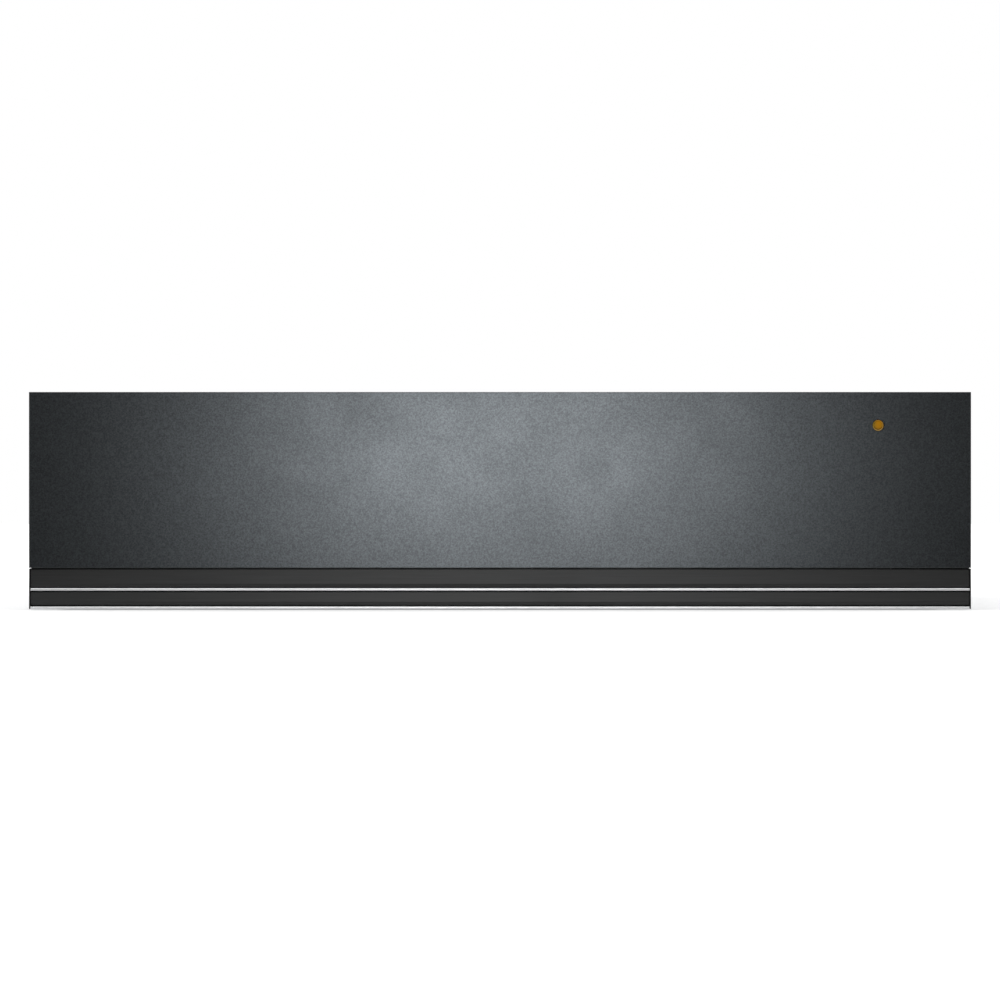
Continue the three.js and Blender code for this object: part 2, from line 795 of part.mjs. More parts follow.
function makeControlFascia() {
  const wide = [-panHalf, panHalf];
  const plate = join(
    block(wide, fasciaY, [rimBottom, rimTop]),
    block(
      [tubSheet + drawerSheet - panHalf, panHalf - tubSheet - drawerSheet],
      [fasciaY[1] - tubSheet, fasciaY[1]],
      [rimTop - fasciaLipDrop, rimTop]
    )
  );
  const hole = [rimBottom - tubSheet, rimTop + tubSheet];
  return cut(plate, rod('z', selectorShaftRadius + seatGap, [selectorX, knobY], hole));
}

function makeSelectorSwitch() {
  const bodyTop = rimBottom - seatGap;
  return join(
    block(
      [selectorX - selectorHalf, selectorX + selectorHalf],
      [knobY - selectorHalf, knobY + selectorHalf],
      [bodyTop - selectorHeight, bodyTop]
    ),
    rod('z', selectorShaftRadius, [selectorX, knobY], [bodyTop - 1, rimTop + selectorShaftRise])
  );
}

function makeSelectorKnob() {
  const boreTop = selectorShaftRise;
  const boreRadius = selectorShaftRadius + seatGap;
  const profile = [
    [0, boreTop],
    [boreRadius, boreTop],
    [boreRadius, 0],
    [knobRadius, 0],
    [knobTopRadius, knobHeight - knobBevel],
    [knobTopRadius - knobBevel, knobHeight],
    [0, knobHeight]
  ];
  const pointer = block(
    [-knobPointerWidth / 2, knobPointerWidth / 2],
    [knobTopRadius * 0.35, knobRadius + knobBevel],
    [knobHeight - knobPointerDepth, knobHeight + knobPointerDepth]
  );
  return cut(turned(profile, 'z', 32), pointer);
}

function makeCircuitBoard() {
  const frontFace = panFrontInner + seatGap + boardStandoff;
  const x = [boardRight - boardWidth, boardRight];
  const top = lightOutletZ + boardAboveLight;
  const z = [top - boardHeight, top];
  const corners = [x[0] + boardStandoffInset, x[1] - boardStandoffInset].flatMap((acrossX) => (
    [z[0] + boardStandoffInset, z[1] - boardStandoffInset].map((upZ) => [acrossX, upZ])
  ));
  const standoffY = [frontFace - boardStandoff, frontFace + boardThickness / 2];
  return join(
    block(x, [frontFace, frontFace + boardThickness], z),
    ...corners.map((corner) => rod('y', boardStandoffRadius, corner, standoffY, 12))
  );
}

const controls = new THREE.Group();
appliance.add(controls);
piece(controls, 'control_fascia', makeControlFascia(), finishes.stainless);
piece(controls, 'selector_switch', makeSelectorSwitch(), finishes.blackPlastic);
piece(controls, 'circuit_board', makeCircuitBoard(), finishes.board);
const knob = piece(controls, 'selector_knob', makeSelectorKnob(), finishes.blackPlastic);
knob.position.set(selectorX, knobY, knobBottom);

// Rail sections: the first coordinate runs from the housing's wall towards the drawer
const railMiddleWeb = railSheet + cageSheet + 2 * ballClearance;
const railInnerFlange = railMiddleWeb + railSheet + cageSheet + 2 * ballClearance;
const railMiddleFlange = railThickness - railSheet - railRunGap;
const outerBallRow = railHeight / 2 - railSheet - ballClearance - ballDiameter / 2;
const railMiddleHalf = outerBallRow - ballDiameter / 2 - ballClearance;
const innerBallRow = railMiddleHalf - railSheet - ballClearance - ballDiameter / 2;
const railInnerHalf = innerBallRow - ballDiameter / 2 - ballClearance;

// A channel from its web to its flange ends, each flange with a lip that turns back to lipEnd
function lippedChannel(web, flangeEnd, half, lipEnd) {
  const inside = flangeEnd - railSheet;
  const under = half - railSheet;
  return outline([
    [web, -half],
    [flangeEnd, -half],
    [flangeEnd, -lipEnd],
    [inside, -lipEnd],
    [inside, -under],
    [web + railSheet, -under],
    [web + railSheet, under],
    [inside, under],
    [inside, lipEnd],
    [flangeEnd, lipEnd],
    [flangeEnd, half],
    [web, half]
  ]);
}

function plainChannel(flangeEnd, web, half) {
  const under = half - railSheet;
  return outline([
    [flangeEnd, -half],
    [web, -half],
    [web, half],
    [flangeEnd, half],
    [flangeEnd, under],
    [web - railSheet, under],
    [web - railSheet, -under],
    [flangeEnd, -under]
  ]);
}

function ballCage(web, ballRow, ballAcross) {
  const along = [-cageLength / 2, cageLength / 2];
  const pieces = [block([web, web + cageSheet], along, [-ballRow, ballRow])];
  const pitch = (cageLength - 2 * cageBorder) / (ballsPerRow - 1);
  for (const row of [-ballRow, ballRow]) {
    const arm = [row - cageSheet / 2, row + cageSheet / 2];
    pieces.push(block([web, ballAcross + ballDiameter / 2], along, arm));
    for (let ball = 0; ball < ballsPerRow; ball += 1) {
      const y = along[0] + cageBorder + ball * pitch;
      pieces.push(new THREE.OctahedronGeometry(ballDiameter / 2, 1).translate(ballAcross, y, row));
    }
  }
  return join(...pieces);
}

const railSpan = [-railLength / 2, railLength / 2];
const outerChannel = lippedChannel(
  0, railOuterFlange, railHeight / 2, railMiddleHalf + railLipClearance
);
const middleChannel = lippedChannel(
  railMiddleWeb, railMiddleFlange, railMiddleHalf, railInnerHalf + railLipClearance
);
const innerChannel = plainChannel(railInnerFlange, railThickness, railInnerHalf);
const outerCageWeb = railSheet + ballClearance;
const innerCageWeb = railMiddleWeb + railSheet + ballClearance;
const outerBallAcross = (outerCageWeb + cageSheet + railOuterFlange - railSheet) / 2;
const innerBallAcross = (innerCageWeb + cageSheet + railMiddleFlange - railSheet) / 2;

const rails = new THREE.Group();
appliance.add(rails);
for (const { side, word } of sides) {
  const rail = new THREE.Group();
  rail.position.set(side * railOuterX, railMiddleY, railCentreZ);
  rail.rotation.z = side > 0 ? Math.PI : 0;
  rails.add(rail);
  piece(rail, `rail_outer_${word}`, extrudeAlongY(outerChannel, railSpan), finishes.zincSteel);
  piece(rail, `rail_middle_${word}`, extrudeAlongY(middleChannel, railSpan), finishes.zincSteel);
  piece(rail, `rail_inner_${word}`, extrudeAlongY(innerChannel, railSpan), finishes.zincSteel);
  const outerCage = ballCage(outerCageWeb, outerBallRow, outerBallAcross);
  const innerCage = ballCage(innerCageWeb, innerBallRow, innerBallAcross);
  const cagePieces = [
    piece(rail, `ball_cage_outer_${word}`, outerCage, finishes.stainless),
    piece(rail, `ball_cage_inner_${word}`, innerCage, finishes.stainless)
  ];
  for (const cage of cagePieces) {
    cage.position.y = -side * cageRearwards;
  }
}

const rearSlots = [-rearSlotCentreX, rearSlotCentreX];

function slotGroup(centreX, makeSlot) {
  const first = centreX - ((slotsPerGroup - 1) * slotPitch) / 2;
  return Array.from({ length: slotsPerGroup }, (unused, index) => makeSlot(first + index * slotPitch));
}

function makeBasePlate() {
  const plate = block([-housingHalf, housingHalf], [housingFront, housingBack], [baseBottom, baseTop]);
  const through = [baseBottom - housingSheet, baseTop + housingSheet];
  const holes = footPlaces.map(([x, y]) => rod('z', footStemRadius + seatGap, [x, y], through, 16));
  return cut(plate, ...holes);
}

function makeSidePanel(side) {
  const y = [housingFront, rearPanelInner - seatGap];
  const flangeX = sideSpan(side, flangeInner, housingHalf);
  return join(
    block(sideSpan(side, wallInner, housingHalf), y, [wallBottom, wallTop]),
    block(flangeX, y, [wallBottom, wallBottom + housingSheet]),
    block(flangeX, y, [wallTop - housingSheet, wallTop])
  );
}

function makeRearPanel() {
  const flangeX = [-flangeInner + seatGap, flangeInner - seatGap];
  const flangeY = [rearPanelInner - rearFlange, housingBack];
  const sheet = join(
    block([-housingHalf, housingHalf], [rearPanelInner, housingBack], [wallBottom, wallTop]),
    block(flangeX, flangeY, [wallBottom, wallBottom + housingSheet]),
    block(flangeX, flangeY, [wallTop - housingSheet, wallTop])
  );
  const through = [rearPanelInner - housingSheet, housingBack + housingSheet];
  const slotZ = [rearSlotCentreZ - slotLength / 2, rearSlotCentreZ + slotLength / 2];
  const slots = rearSlots.flatMap((centreX) => slotGroup(centreX, (x) => (
    block([x - slotWidth / 2, x + slotWidth / 2], through, slotZ)
  )));
  const halfWidth = inletBodyWidth / 2 + seatGap;
  const halfHeight = inletBodyHeight / 2 + seatGap;
  const inletHole = block(
    [inletX - halfWidth, inletX + halfWidth], through, [inletZ - halfHeight, inletZ + halfHeight]
  );
  return cut(sheet, ...slots, inletHole);
}

function makeTopCover() {
  const sheet = join(
    block([-housingHalf, housingHalf], [housingFront, housingBack], [coverBottom, coverTop]),
    block(
      [-flangeInner + seatGap, flangeInner - seatGap],
      [housingFront, housingFront + coverSheet],
      [coverBottom - coverLipHeight, coverTop]
    )
  );
  const through = [coverBottom - coverSheet, coverTop + coverSheet];
  const slotEnd = housingBack - coverSlotSetback;
  const slots = [-coverSlotCentreX, coverSlotCentreX].flatMap((centreX) => (
    slotGroup(centreX, (x) => (
      block([x - slotWidth / 2, x + slotWidth / 2], [slotEnd - slotLength, slotEnd], through)
    ))
  ));
  return cut(sheet, ...slots);
}

function makeFrontCrossmember() {
  const y = [housingFront + crossmemberSetback, housingFront + crossmemberSetback + crossmemberDepth];
  const z = [wallBottom, wallBottom + crossmemberHeight];
  const shape = outline([
    [y[0], z[0]],
    [y[0] + housingSheet, z[0]],
    [y[0] + housingSheet, z[1] - housingSheet],
    [y[1] - housingSheet, z[1] - housingSheet],
    [y[1] - housingSheet, z[0]],
    [y[1], z[0]],
    [y[1], z[1]],
    [y[0], z[1]]
  ]);
  return extrudeAlongX(shape, [-flangeInner + seatGap, flangeInner - seatGap]);
}

function makeCabinetBracket(side) {
  const inner = housingHalf + seatGap;
  const tabFront = housingFront - bracketSheet;
  const z = [bracketCentreZ - bracketHeight / 2, bracketCentreZ + bracketHeight / 2];
  const bracket = join(
    block(sideSpan(side, inner, inner + bracketTabReach), [tabFront, housingFront], z),
    block(sideSpan(side, inner, inner + bracketSheet), [tabFront, housingFront + bracketLegDepth], z)
  );
  const tabHoleX = side * (inner + bracketHoleReach);
  const legHoleY = housingFront + bracketLegDepth / 2;
  const throughTab = [tabFront - bracketSheet, housingFront + bracketSheet];
  const throughLeg = sideSpan(side, inner - bracketSheet, inner + 2 * bracketSheet);
  const holes = [-bracketHoleSpacing / 2, bracketHoleSpacing / 2].flatMap((offset) => [
    rod('y', bracketHoleRadius, [tabHoleX, bracketCentreZ + offset], throughTab, 16),
    rod('x', bracketHoleRadius, [legHoleY, bracketCentreZ + offset], throughLeg, 16)
  ]);
  return cut(bracket, ...holes);
}

function makeFoot() {
  const profile = [
    [0, 0],
    [footRadius, 0],
    [footRadius, footHeight],
    [footStemRadius, footHeight],
    [footStemRadius, wallBottom],
    [footHeadRadius, wallBottom],
    [footHeadRadius * 0.7, wallBottom + footHeadHeight],
    [0, wallBottom + footHeadHeight]
  ];
  return turned(profile, 'z', 16);
}

const footRows = [
  { word: 'front', y: housingFront + footFrontInset },
  { word: 'rear', y: housingBack - footRearInset }
];
const footPlaces = footRows.flatMap(({ y }) => sides.map(({ side }) => [side * footX, y]));

const housing = new THREE.Group();
appliance.add(housing);
piece(housing, 'base_plate', makeBasePlate(), finishes.galvanised);
piece(housing, 'rear_panel', makeRearPanel(), finishes.galvanised);
piece(housing, 'top_cover', makeTopCover(), finishes.galvanised);
piece(housing, 'front_crossmember', makeFrontCrossmember(), finishes.galvanised);
for (const { side, word } of sides) {
  piece(housing, `side_panel_${word}`, makeSidePanel(side), finishes.galvanised);
  piece(housing, `cabinet_bracket_${word}`, makeCabinetBracket(side), finishes.galvanised);
  for (const row of footRows) {
    const foot = piece(housing, `foot_${row.word}_${word}`, makeFoot(), finishes.rubber);
    foot.position.set(side * footX, row.y, 0);
  }
}

// Push latch: its tip waits a push travel behind the strike plate
const strikeY = [panBack + seatGap, panBack + seatGap + strikeThickness];
const latchTip = strikeY[1] + pushTravel + seatGap;
const latchY = [latchTip + latchStandout, rearPanelInner - seatGap];
const plungerBoreY = latchTip + plungerHeadLength;
const plungerBack = latchTip + plungerLength;

function makeLatchBody() {
  const x = [-latchWidth / 2, latchWidth / 2];
  const z = [latchCentreZ - latchHeight / 2, latchCentreZ + latchHeight / 2];
  const bore = [latchY[0] - latchStandout, latchY[1] - latchBackWall];
  return cut(block(x, latchY, z), rod('y', plungerRadius + seatGap, [0, latchCentreZ], bore));
}

function makeLatchPlunger() {
  const centre = [0, latchCentreZ];
  return cut(
    rod('y', plungerRadius, centre, [latchTip, plungerBack]),
    rod('y', plungerBoreRadius, centre, [plungerBoreY, plungerBack + plungerRadius], 20),
    rod('y', magnetRadius + seatGap, centre, [latchTip - magnetThickness, latchTip + magnetThickness], 20)
  );
}

function makeLatchMagnet() {
  const y = [latchTip + seatGap / 3, latchTip + magnetThickness - seatGap];
  return rod('y', magnetRadius, [0, latchCentreZ], y, 20);
}

function makeLatchSpring() {
  const from = plungerBoreY + seatGap + springWire / 2;
  const to = latchY[1] - latchBackWall - seatGap - springWire / 2;
  const points = helixPoints({
    start: new THREE.Vector3(0, from, latchCentreZ),
    direction: new THREE.Vector3(0, 1, 0),
    across: new THREE.Vector3(1, 0, 0),
    span: to - from,
    radius: springRadius,
    turns: springTurns,
    stepsPerTurn: 8,
    eased: false
  });
  console.log('latch spring, least gap to itself', leastGapToItself(points, springWire / 2, 8).toFixed(2));
  return tubeThrough(points, springWire / 2, 5);
}

function makeStrikePlate() {
  const z = [latchCentreZ - strikeHeight / 2, latchCentreZ + strikeHeight / 2];
  return block([-strikeWidth / 2, strikeWidth / 2], strikeY, z);
}

const latch = new THREE.Group();
appliance.add(latch);
piece(latch, 'latch_body', makeLatchBody(), finishes.greyPlastic);
piece(latch, 'latch_plunger', makeLatchPlunger(), finishes.blackPlastic);
piece(latch, 'latch_magnet', makeLatchMagnet(), finishes.zincSteel);
piece(latch, 'latch_spring', makeLatchSpring(), finishes.zincSteel);
piece(latch, 'strike_plate', makeStrikePlate(), finishes.zincSteel);

function makeMainsInlet() {
  const flangeFront = housingBack + seatGap;
  const bodyFront = flangeFront - inletBodyDepth;
  const socketFront = overallDepth - inletSocketDepth;
  const shell = cut(
    join(
      block(
        centred(inletX, inletFlangeWidth), [flangeFront, overallDepth], centred(inletZ, inletFlangeHeight)
      ),
      block(
        centred(inletX, inletBodyWidth), [bodyFront, overallDepth], centred(inletZ, inletBodyHeight)
      )
    ),
    block(
      centred(inletX, inletSocketWidth),
      [socketFront, overallDepth + inletFlangeThickness],
      centred(inletZ, inletSocketHeight)
    )
  );
  const pinPlaces = [
    [inletX - inletPinSpacing, inletZ + inletOuterLift],
    [inletX, inletZ + inletEarthLift],
    [inletX + inletPinSpacing, inletZ + inletOuterLift]
  ];
  const pinY = [socketFront - inletPinWidth / 2, socketFront + inletPinLength];
  const pins = pinPlaces.map(([x, z]) => (
    block(centred(x, inletPinWidth), pinY, centred(z, inletPinHeight))
  ));
  return join(shell, ...pins);
}

const terminalY = [rearPanelInner - terminalRearGap - terminalDepth, rearPanelInner - terminalRearGap];
const terminalTop = wallBottom + terminalHeight;

function makeTerminalBlock() {
  const x = centred(terminalX, terminalWidth);
  const wayWidth = terminalWidth / terminalWays;
  const ridgeY = [terminalY[0], terminalY[0] + terminalRidgeDepth];
  const ridges = Array.from({ length: terminalWays }, (unused, index) => {
    const middle = x[0] + (index + 0.5) * wayWidth;
    const z = [terminalTop - housingSheet, terminalTop + terminalRidgeHeight];
    return block(centred(middle, terminalRidgeWidth), ridgeY, z);
  });
  return join(block(x, terminalY, [wallBottom, terminalTop]), ...ridges);
}

function makeInletCable() {
  const y = housingBack + seatGap - inletBodyDepth / 2;
  const inletSide = inletX + inletBodyWidth / 2 + seatGap;
  const blockSide = terminalX - terminalWidth / 2 - seatGap;
  const enterZ = wallBottom + terminalHeight / 2;
  const enterY = (terminalY[0] + terminalY[1]) / 2;
  const reach = blockSide - inletSide;
  const route = new THREE.CatmullRomCurve3([
    new THREE.Vector3(inletSide, y, inletZ),
    new THREE.Vector3(inletSide + reach * 0.2, y, inletZ),
    new THREE.Vector3(inletSide + reach * 0.5, (y + enterY) / 2, (inletZ + enterZ) / 2),
    new THREE.Vector3(inletSide + reach * 0.8, enterY, enterZ),
    new THREE.Vector3(blockSide, enterY, enterZ)
  ]);
  return tubeThrough(route.getSpacedPoints(12), leadDiameter / 2, 8);
}

const connectorLeft = spigotX - connectorSpigotRadius - connectorSpigotWall;
const connectorX = [connectorLeft, connectorLeft + connectorWidth];
const coilStart = leadTailX - leadBendRadius - leadStraight;
const coilEnd = connectorX[1] + leadStraight;
const clampX = [coilStart + (leadStraight - clampWidth) / 2, coilStart + (leadStraight + clampWidth) / 2];

function makeSupplyLead() {
  const bendX = leadTailX - leadBendRadius;
  const bendZ = leadHeight - leadBendRadius;
  const points = [new THREE.Vector3(leadTailX, leadY, terminalTop + seatGap)];
  const bendSteps = 6;
  for (let step = 0; step <= bendSteps; step += 1) {
    const angle = (step / bendSteps) * (Math.PI / 2);
    const x = bendX + Math.cos(angle) * leadBendRadius;
    points.push(new THREE.Vector3(x, leadY, bendZ + Math.sin(angle) * leadBendRadius));
  }
  const coil = helixPoints({
    start: new THREE.Vector3(coilStart, leadY, leadHeight),
    direction: new THREE.Vector3(-1, 0, 0),
    across: new THREE.Vector3(0, 0, 1),
    span: coilStart - coilEnd,
    radius: leadCoilRadius,
    turns: Math.round((coilStart - coilEnd) / leadCoilPitch),
    stepsPerTurn: 8,
    eased: true
  });
  points.push(...coil);
  const end = connectorX[1] - connectorGrip + seatGap;
  points.push(new THREE.Vector3(coilEnd - leadStraight / 2, leadY, leadHeight));
  points.push(new THREE.Vector3(end, leadY, leadHeight));
  console.log('supply lead, least gap to itself', leastGapToItself(coil, leadDiameter / 2, 8).toFixed(2));
  return tubeThrough(points, leadDiameter / 2, 5);
}

const clampHalf = leadDiameter / 2 + seatGap + clampWall;

function makeHousingLeadClamp() {
  const y = [leadY - clampHalf, rearPanelInner - seatGap];
  const through = [clampX[0] - clampWall, clampX[1] + clampWall];
  return cut(
    block(clampX, y, [leadHeight - clampHalf, leadHeight + clampHalf]),
    rod('x', leadDiameter / 2 + seatGap, [leadY, leadHeight], through, 16)
  );
}

function makeDrawerLeadConnector() {
  const back = leadY + clampHalf;
  const bore = [connectorX[1] - connectorGrip, connectorX[1] + clampWall];
  const spigotY = [panBack + seatGap - connectorSpigotLength, panBack + drawerSheet];
  const body = join(
    block(connectorX, [panBack + seatGap, back], [leadHeight - clampHalf, leadHeight + clampHalf]),
    rod('y', connectorSpigotRadius, [spigotX, leadHeight], spigotY, 16)
  );
  return cut(body, rod('x', leadDiameter / 2 + seatGap, [leadY, leadHeight], bore, 16));
}

// The drawer's own cable, from the connector along the left side and the front to the circuit board
function makeDrawerWiring() {
  const start = panBack - connectorSpigotLength;
  const frontY = (panFrontInner + tubFront) / 2;
  const boardBottom = lightOutletZ + boardAboveLight - boardHeight;
  const endY = panFrontInner + seatGap + boardStandoff + boardThickness / 2;
  const corner = wiringCorner;
  const sideX = spigotX;
  const route = new THREE.CatmullRomCurve3([
    new THREE.Vector3(sideX, start, leadHeight),
    new THREE.Vector3(sideX, start - corner, leadHeight),
    new THREE.Vector3(sideX, start - 4 * corner, wiringHeight),
    new THREE.Vector3(sideX, start / 2, wiringHeight),
    new THREE.Vector3(sideX, frontY + 2 * corner, wiringHeight),
    new THREE.Vector3(sideX + corner / 4, frontY + corner / 2, wiringHeight),
    new THREE.Vector3(sideX + corner, frontY, wiringHeight),
    new THREE.Vector3(sideX + 3 * corner, frontY, wiringHeight),
    new THREE.Vector3(0, frontY, wiringHeight),
    new THREE.Vector3(wiringBoardX - 2 * corner, frontY, wiringHeight),
    new THREE.Vector3(wiringBoardX - corner / 3, frontY - 2, wiringHeight + corner / 4),
    new THREE.Vector3(wiringBoardX, endY, boardBottom - seatGap - 2 * wiringRadius)
  ]);
  const end = new THREE.Vector3(wiringBoardX, endY, boardBottom - seatGap);
  return tubeThrough([...route.getSpacedPoints(40), end.clone().setZ(end.z - 1), end], wiringRadius, 8);
}

const electrics = new THREE.Group();
appliance.add(electrics);
piece(electrics, 'mains_inlet', makeMainsInlet(), finishes.blackPlastic);
piece(electrics, 'terminal_block', makeTerminalBlock(), finishes.greyPlastic);
piece(electrics, 'inlet_cable', makeInletCable(), finishes.blackPlastic);
piece(electrics, 'supply_lead', makeSupplyLead(), finishes.blackPlastic);
piece(electrics, 'lead_clamp_housing', makeHousingLeadClamp(), finishes.greyPlastic);
piece(electrics, 'lead_connector_drawer', makeDrawerLeadConnector(), finishes.greyPlastic);
piece(electrics, 'drawer_wiring', makeDrawerWiring(), finishes.rubber);

export default appliance;
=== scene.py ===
import json
import math
import random

import bmesh
import bpy
from mathutils import Matrix, Vector
from mathutils import noise as noiseTool

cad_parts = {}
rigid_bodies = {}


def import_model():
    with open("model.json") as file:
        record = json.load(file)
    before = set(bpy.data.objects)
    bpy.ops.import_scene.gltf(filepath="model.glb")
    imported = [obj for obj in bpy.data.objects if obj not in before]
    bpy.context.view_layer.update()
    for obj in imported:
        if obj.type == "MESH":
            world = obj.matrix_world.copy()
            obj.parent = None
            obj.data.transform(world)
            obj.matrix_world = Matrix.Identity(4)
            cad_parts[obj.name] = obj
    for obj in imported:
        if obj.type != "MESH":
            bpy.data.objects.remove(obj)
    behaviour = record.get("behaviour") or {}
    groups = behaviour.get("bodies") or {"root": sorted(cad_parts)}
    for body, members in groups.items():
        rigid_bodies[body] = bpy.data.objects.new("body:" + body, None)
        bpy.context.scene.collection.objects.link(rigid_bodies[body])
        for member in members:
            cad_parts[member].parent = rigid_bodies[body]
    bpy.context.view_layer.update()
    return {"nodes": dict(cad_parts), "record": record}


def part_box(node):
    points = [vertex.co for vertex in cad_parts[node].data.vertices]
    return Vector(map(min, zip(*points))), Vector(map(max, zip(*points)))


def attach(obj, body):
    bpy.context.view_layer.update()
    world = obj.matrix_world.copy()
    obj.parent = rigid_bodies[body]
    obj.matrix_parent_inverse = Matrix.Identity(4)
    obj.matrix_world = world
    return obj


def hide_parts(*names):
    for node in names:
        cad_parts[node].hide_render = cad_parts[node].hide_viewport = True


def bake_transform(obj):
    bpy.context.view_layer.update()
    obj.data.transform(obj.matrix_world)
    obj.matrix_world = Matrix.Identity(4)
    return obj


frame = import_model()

scene = bpy.context.scene
mm = 0.001

# Which body and finish each CAD node has
nodeBody = {}
for bodyName, nodeNames in frame["record"]["behaviour"]["bodies"].items():
    for nodeName in nodeNames:
        nodeBody[nodeName] = bodyName
nodeSlot = {part["node"]: part["material_slot"] for part in frame["record"]["subparts"]}

# Camera, room and lamps
print("warming drawer: camera and light")

studio = {
    "lens": 200.0,
    "sensor": 36.0,
    "cameraPlace": (0.0, -3.749, 0.06876),
    "clipEnd": 60.0,
    "lampAim": (0.0, 0.0, 0.05),
    "ambient": 0.6,
    "horizon": 0.72,  # how bright the mirrored room is at eye level; it is 1 from roomTop up
    "roomTop": 0.8,
    "aheadDark": 0.03,  # the mirrored room ahead of the front is dark
    "aheadFrom": 0.45,
    "aheadTo": 0.85,
}
scene.view_settings.view_transform = "Standard"

cameraData = bpy.data.cameras.new("camera")
cameraData.lens = studio["lens"]
cameraData.sensor_width = studio["sensor"]
cameraData.clip_end = studio["clipEnd"]
camera = bpy.data.objects.new("camera", cameraData)
camera.location = studio["cameraPlace"]
camera.rotation_euler = (math.radians(90.0), 0.0, 0.0)
scene.collection.objects.link(camera)
scene.camera = camera


def node(tree, kind, inputs=None, **settings):
    # A shader node; each input takes a value or a link from another node
    made = tree.nodes.new(kind)
    for key, value in settings.items():
        setattr(made, key, value)
    for key, value in (inputs or {}).items():
        if isinstance(value, bpy.types.NodeSocket):
            tree.links.new(value, made.inputs[key])
        else:
            made.inputs[key].default_value = value
    return made


def mathNode(tree, operation, first, second=0.0):
    return node(tree, "ShaderNodeMath", {0: first, 1: second}, operation=operation).outputs[0]


def times(tree, first, second):
    return mathNode(tree, "MULTIPLY", first, second)


def vectorNode(tree, operation, first, second):
    return node(tree, "ShaderNodeVectorMath", {0: first, 1: second}, operation=operation).outputs[0]


def spread(tree, value, low, high, fromLow=0.0, fromHigh=1.0, smooth=False):
    # Maps a value from one range to another
    made = node(tree, "ShaderNodeMapRange", {
        "Value": value, "From Min": fromLow, "From Max": fromHigh, "To Min": low, "To Max": high,
    }, interpolation_type="SMOOTHSTEP" if smooth else "LINEAR")
    return made.outputs["Result"]


def mixColour(tree, share, first, second):
    return node(tree, "ShaderNodeMix", {0: share, 6: first, 7: second}, data_type="RGBA").outputs[2]


def mixValue(tree, share, first, second):
    return node(tree, "ShaderNodeMix", {0: share, 2: first, 3: second}, data_type="FLOAT").outputs[0]


def objectPlace(tree):
    return node(tree, "ShaderNodeTexCoord").outputs["Object"]


world = bpy.data.worlds.new("studio")
scene.world = world
world.use_nodes = True
room = world.node_tree
room.nodes.clear()
lightPath = node(room, "ShaderNodeLightPath")
direction = node(room, "ShaderNodeSeparateXYZ", {
    "Vector": node(room, "ShaderNodeTexCoord").outputs["Generated"],
})
ahead = times(room, direction.outputs["Y"], -1.0)
darkSide = spread(room, ahead, 0.0, 1.0, studio["aheadFrom"], studio["aheadTo"], smooth=True)
height = spread(room, direction.outputs["Z"], studio["horizon"], 1.0, 0.0, studio["roomTop"], smooth=True)
mirrored = mixValue(room, darkSide, height, studio["aheadDark"])
seenInMetal = mathNode(room, "MAXIMUM", lightPath.outputs["Is Glossy Ray"],
                       lightPath.outputs["Is Transmission Ray"])
strength = mixValue(room, seenInMetal, studio["ambient"], mirrored)
strength = mixValue(room, lightPath.outputs["Is Camera Ray"], strength, 1.0)
glow = node(room, "ShaderNodeBackground", {"Color": (1.0, 1.0, 1.0, 1.0), "Strength": strength})
node(room, "ShaderNodeOutputWorld", {"Surface": glow.outputs[0]})

# The front lamp lays the long soft highlight on the glass; the others are plain soft boxes
lamps = [
    {"name": "frontLamp", "place": (0.0037, -1.2666, 0.1125), "aim": (0.0037, 0.0, 0.1125),
     "size": (0.32, 0.04), "power": 0.17, "spread": 48.0},
    {"name": "topBox", "place": (-0.5, -0.9, 1.9), "size": (3.0, 2.4), "power": 20.0},
    {"name": "sideBox", "place": (1.9, 0.5, 1.3), "size": (2.0, 1.6), "power": 9.0},
    {"name": "backBox", "place": (-1.5, 1.8, 1.2), "size": (2.0, 1.6), "power": 9.0},
]
for lamp in lamps:
    light = bpy.data.lights.new(lamp["name"], "AREA")
    light.shape = "RECTANGLE"
    light.size, light.size_y = lamp["size"]
    light.energy = lamp["power"]
    light.spread = math.radians(lamp.get("spread", 180.0))
    lampObject = bpy.data.objects.new(lamp["name"], light)
    lampObject.location = lamp["place"]
    aim = Vector(lamp.get("aim", studio["lampAim"])) - Vector(lamp["place"])
    lampObject.rotation_euler = aim.to_track_quat("-Z", "Y").to_euler()
    lampObject.visible_camera = False
    scene.collection.objects.link(lampObject)

# Shape tools
print("warming drawer: shape tools")


def roundEdges(shape, edges, width, segments=2):
    bmesh.ops.bevel(shape, geom=list(edges), offset=width, offset_type="OFFSET", segments=segments,
                    profile=0.5, affect="EDGES", clamp_overlap=True, material=-1)


def sharpEdges(shape, degrees=30.0):
    limit = math.radians(degrees)
    return [edge for edge in shape.edges
            if len(edge.link_faces) == 2 and edge.calc_face_angle(0.0) > limit]


def blockShape(low, high, rounding=0.0, segments=2):
    shape = bmesh.new()
    bmesh.ops.create_cube(shape, size=1.0)
    low, high = Vector(low), Vector(high)
    bmesh.ops.scale(shape, vec=high - low, verts=shape.verts)
    bmesh.ops.translate(shape, vec=(low + high) / 2.0, verts=shape.verts)
    if rounding:
        roundEdges(shape, shape.edges, rounding, segments)
    return shape


def inMm(profile):
    return [(radius * mm, along * mm) for radius, along in profile]


def arc(radius, height, start, stop, step, base=0.0):
    # Profile points on a quarter or less of an ellipse with its centre at the height base
    angles = [math.radians(degrees) for degrees in range(start, stop + 1, step)]
    return [(radius * math.cos(angle), base + height * math.sin(angle)) for angle in angles]


def closeSeams(shape, distance=1e-7):
    # Merges the doubles, then turns all faces outwards
    bmesh.ops.remove_doubles(shape, verts=shape.verts, dist=distance)
    bmesh.ops.recalc_face_normals(shape, faces=shape.faces)
    return shape


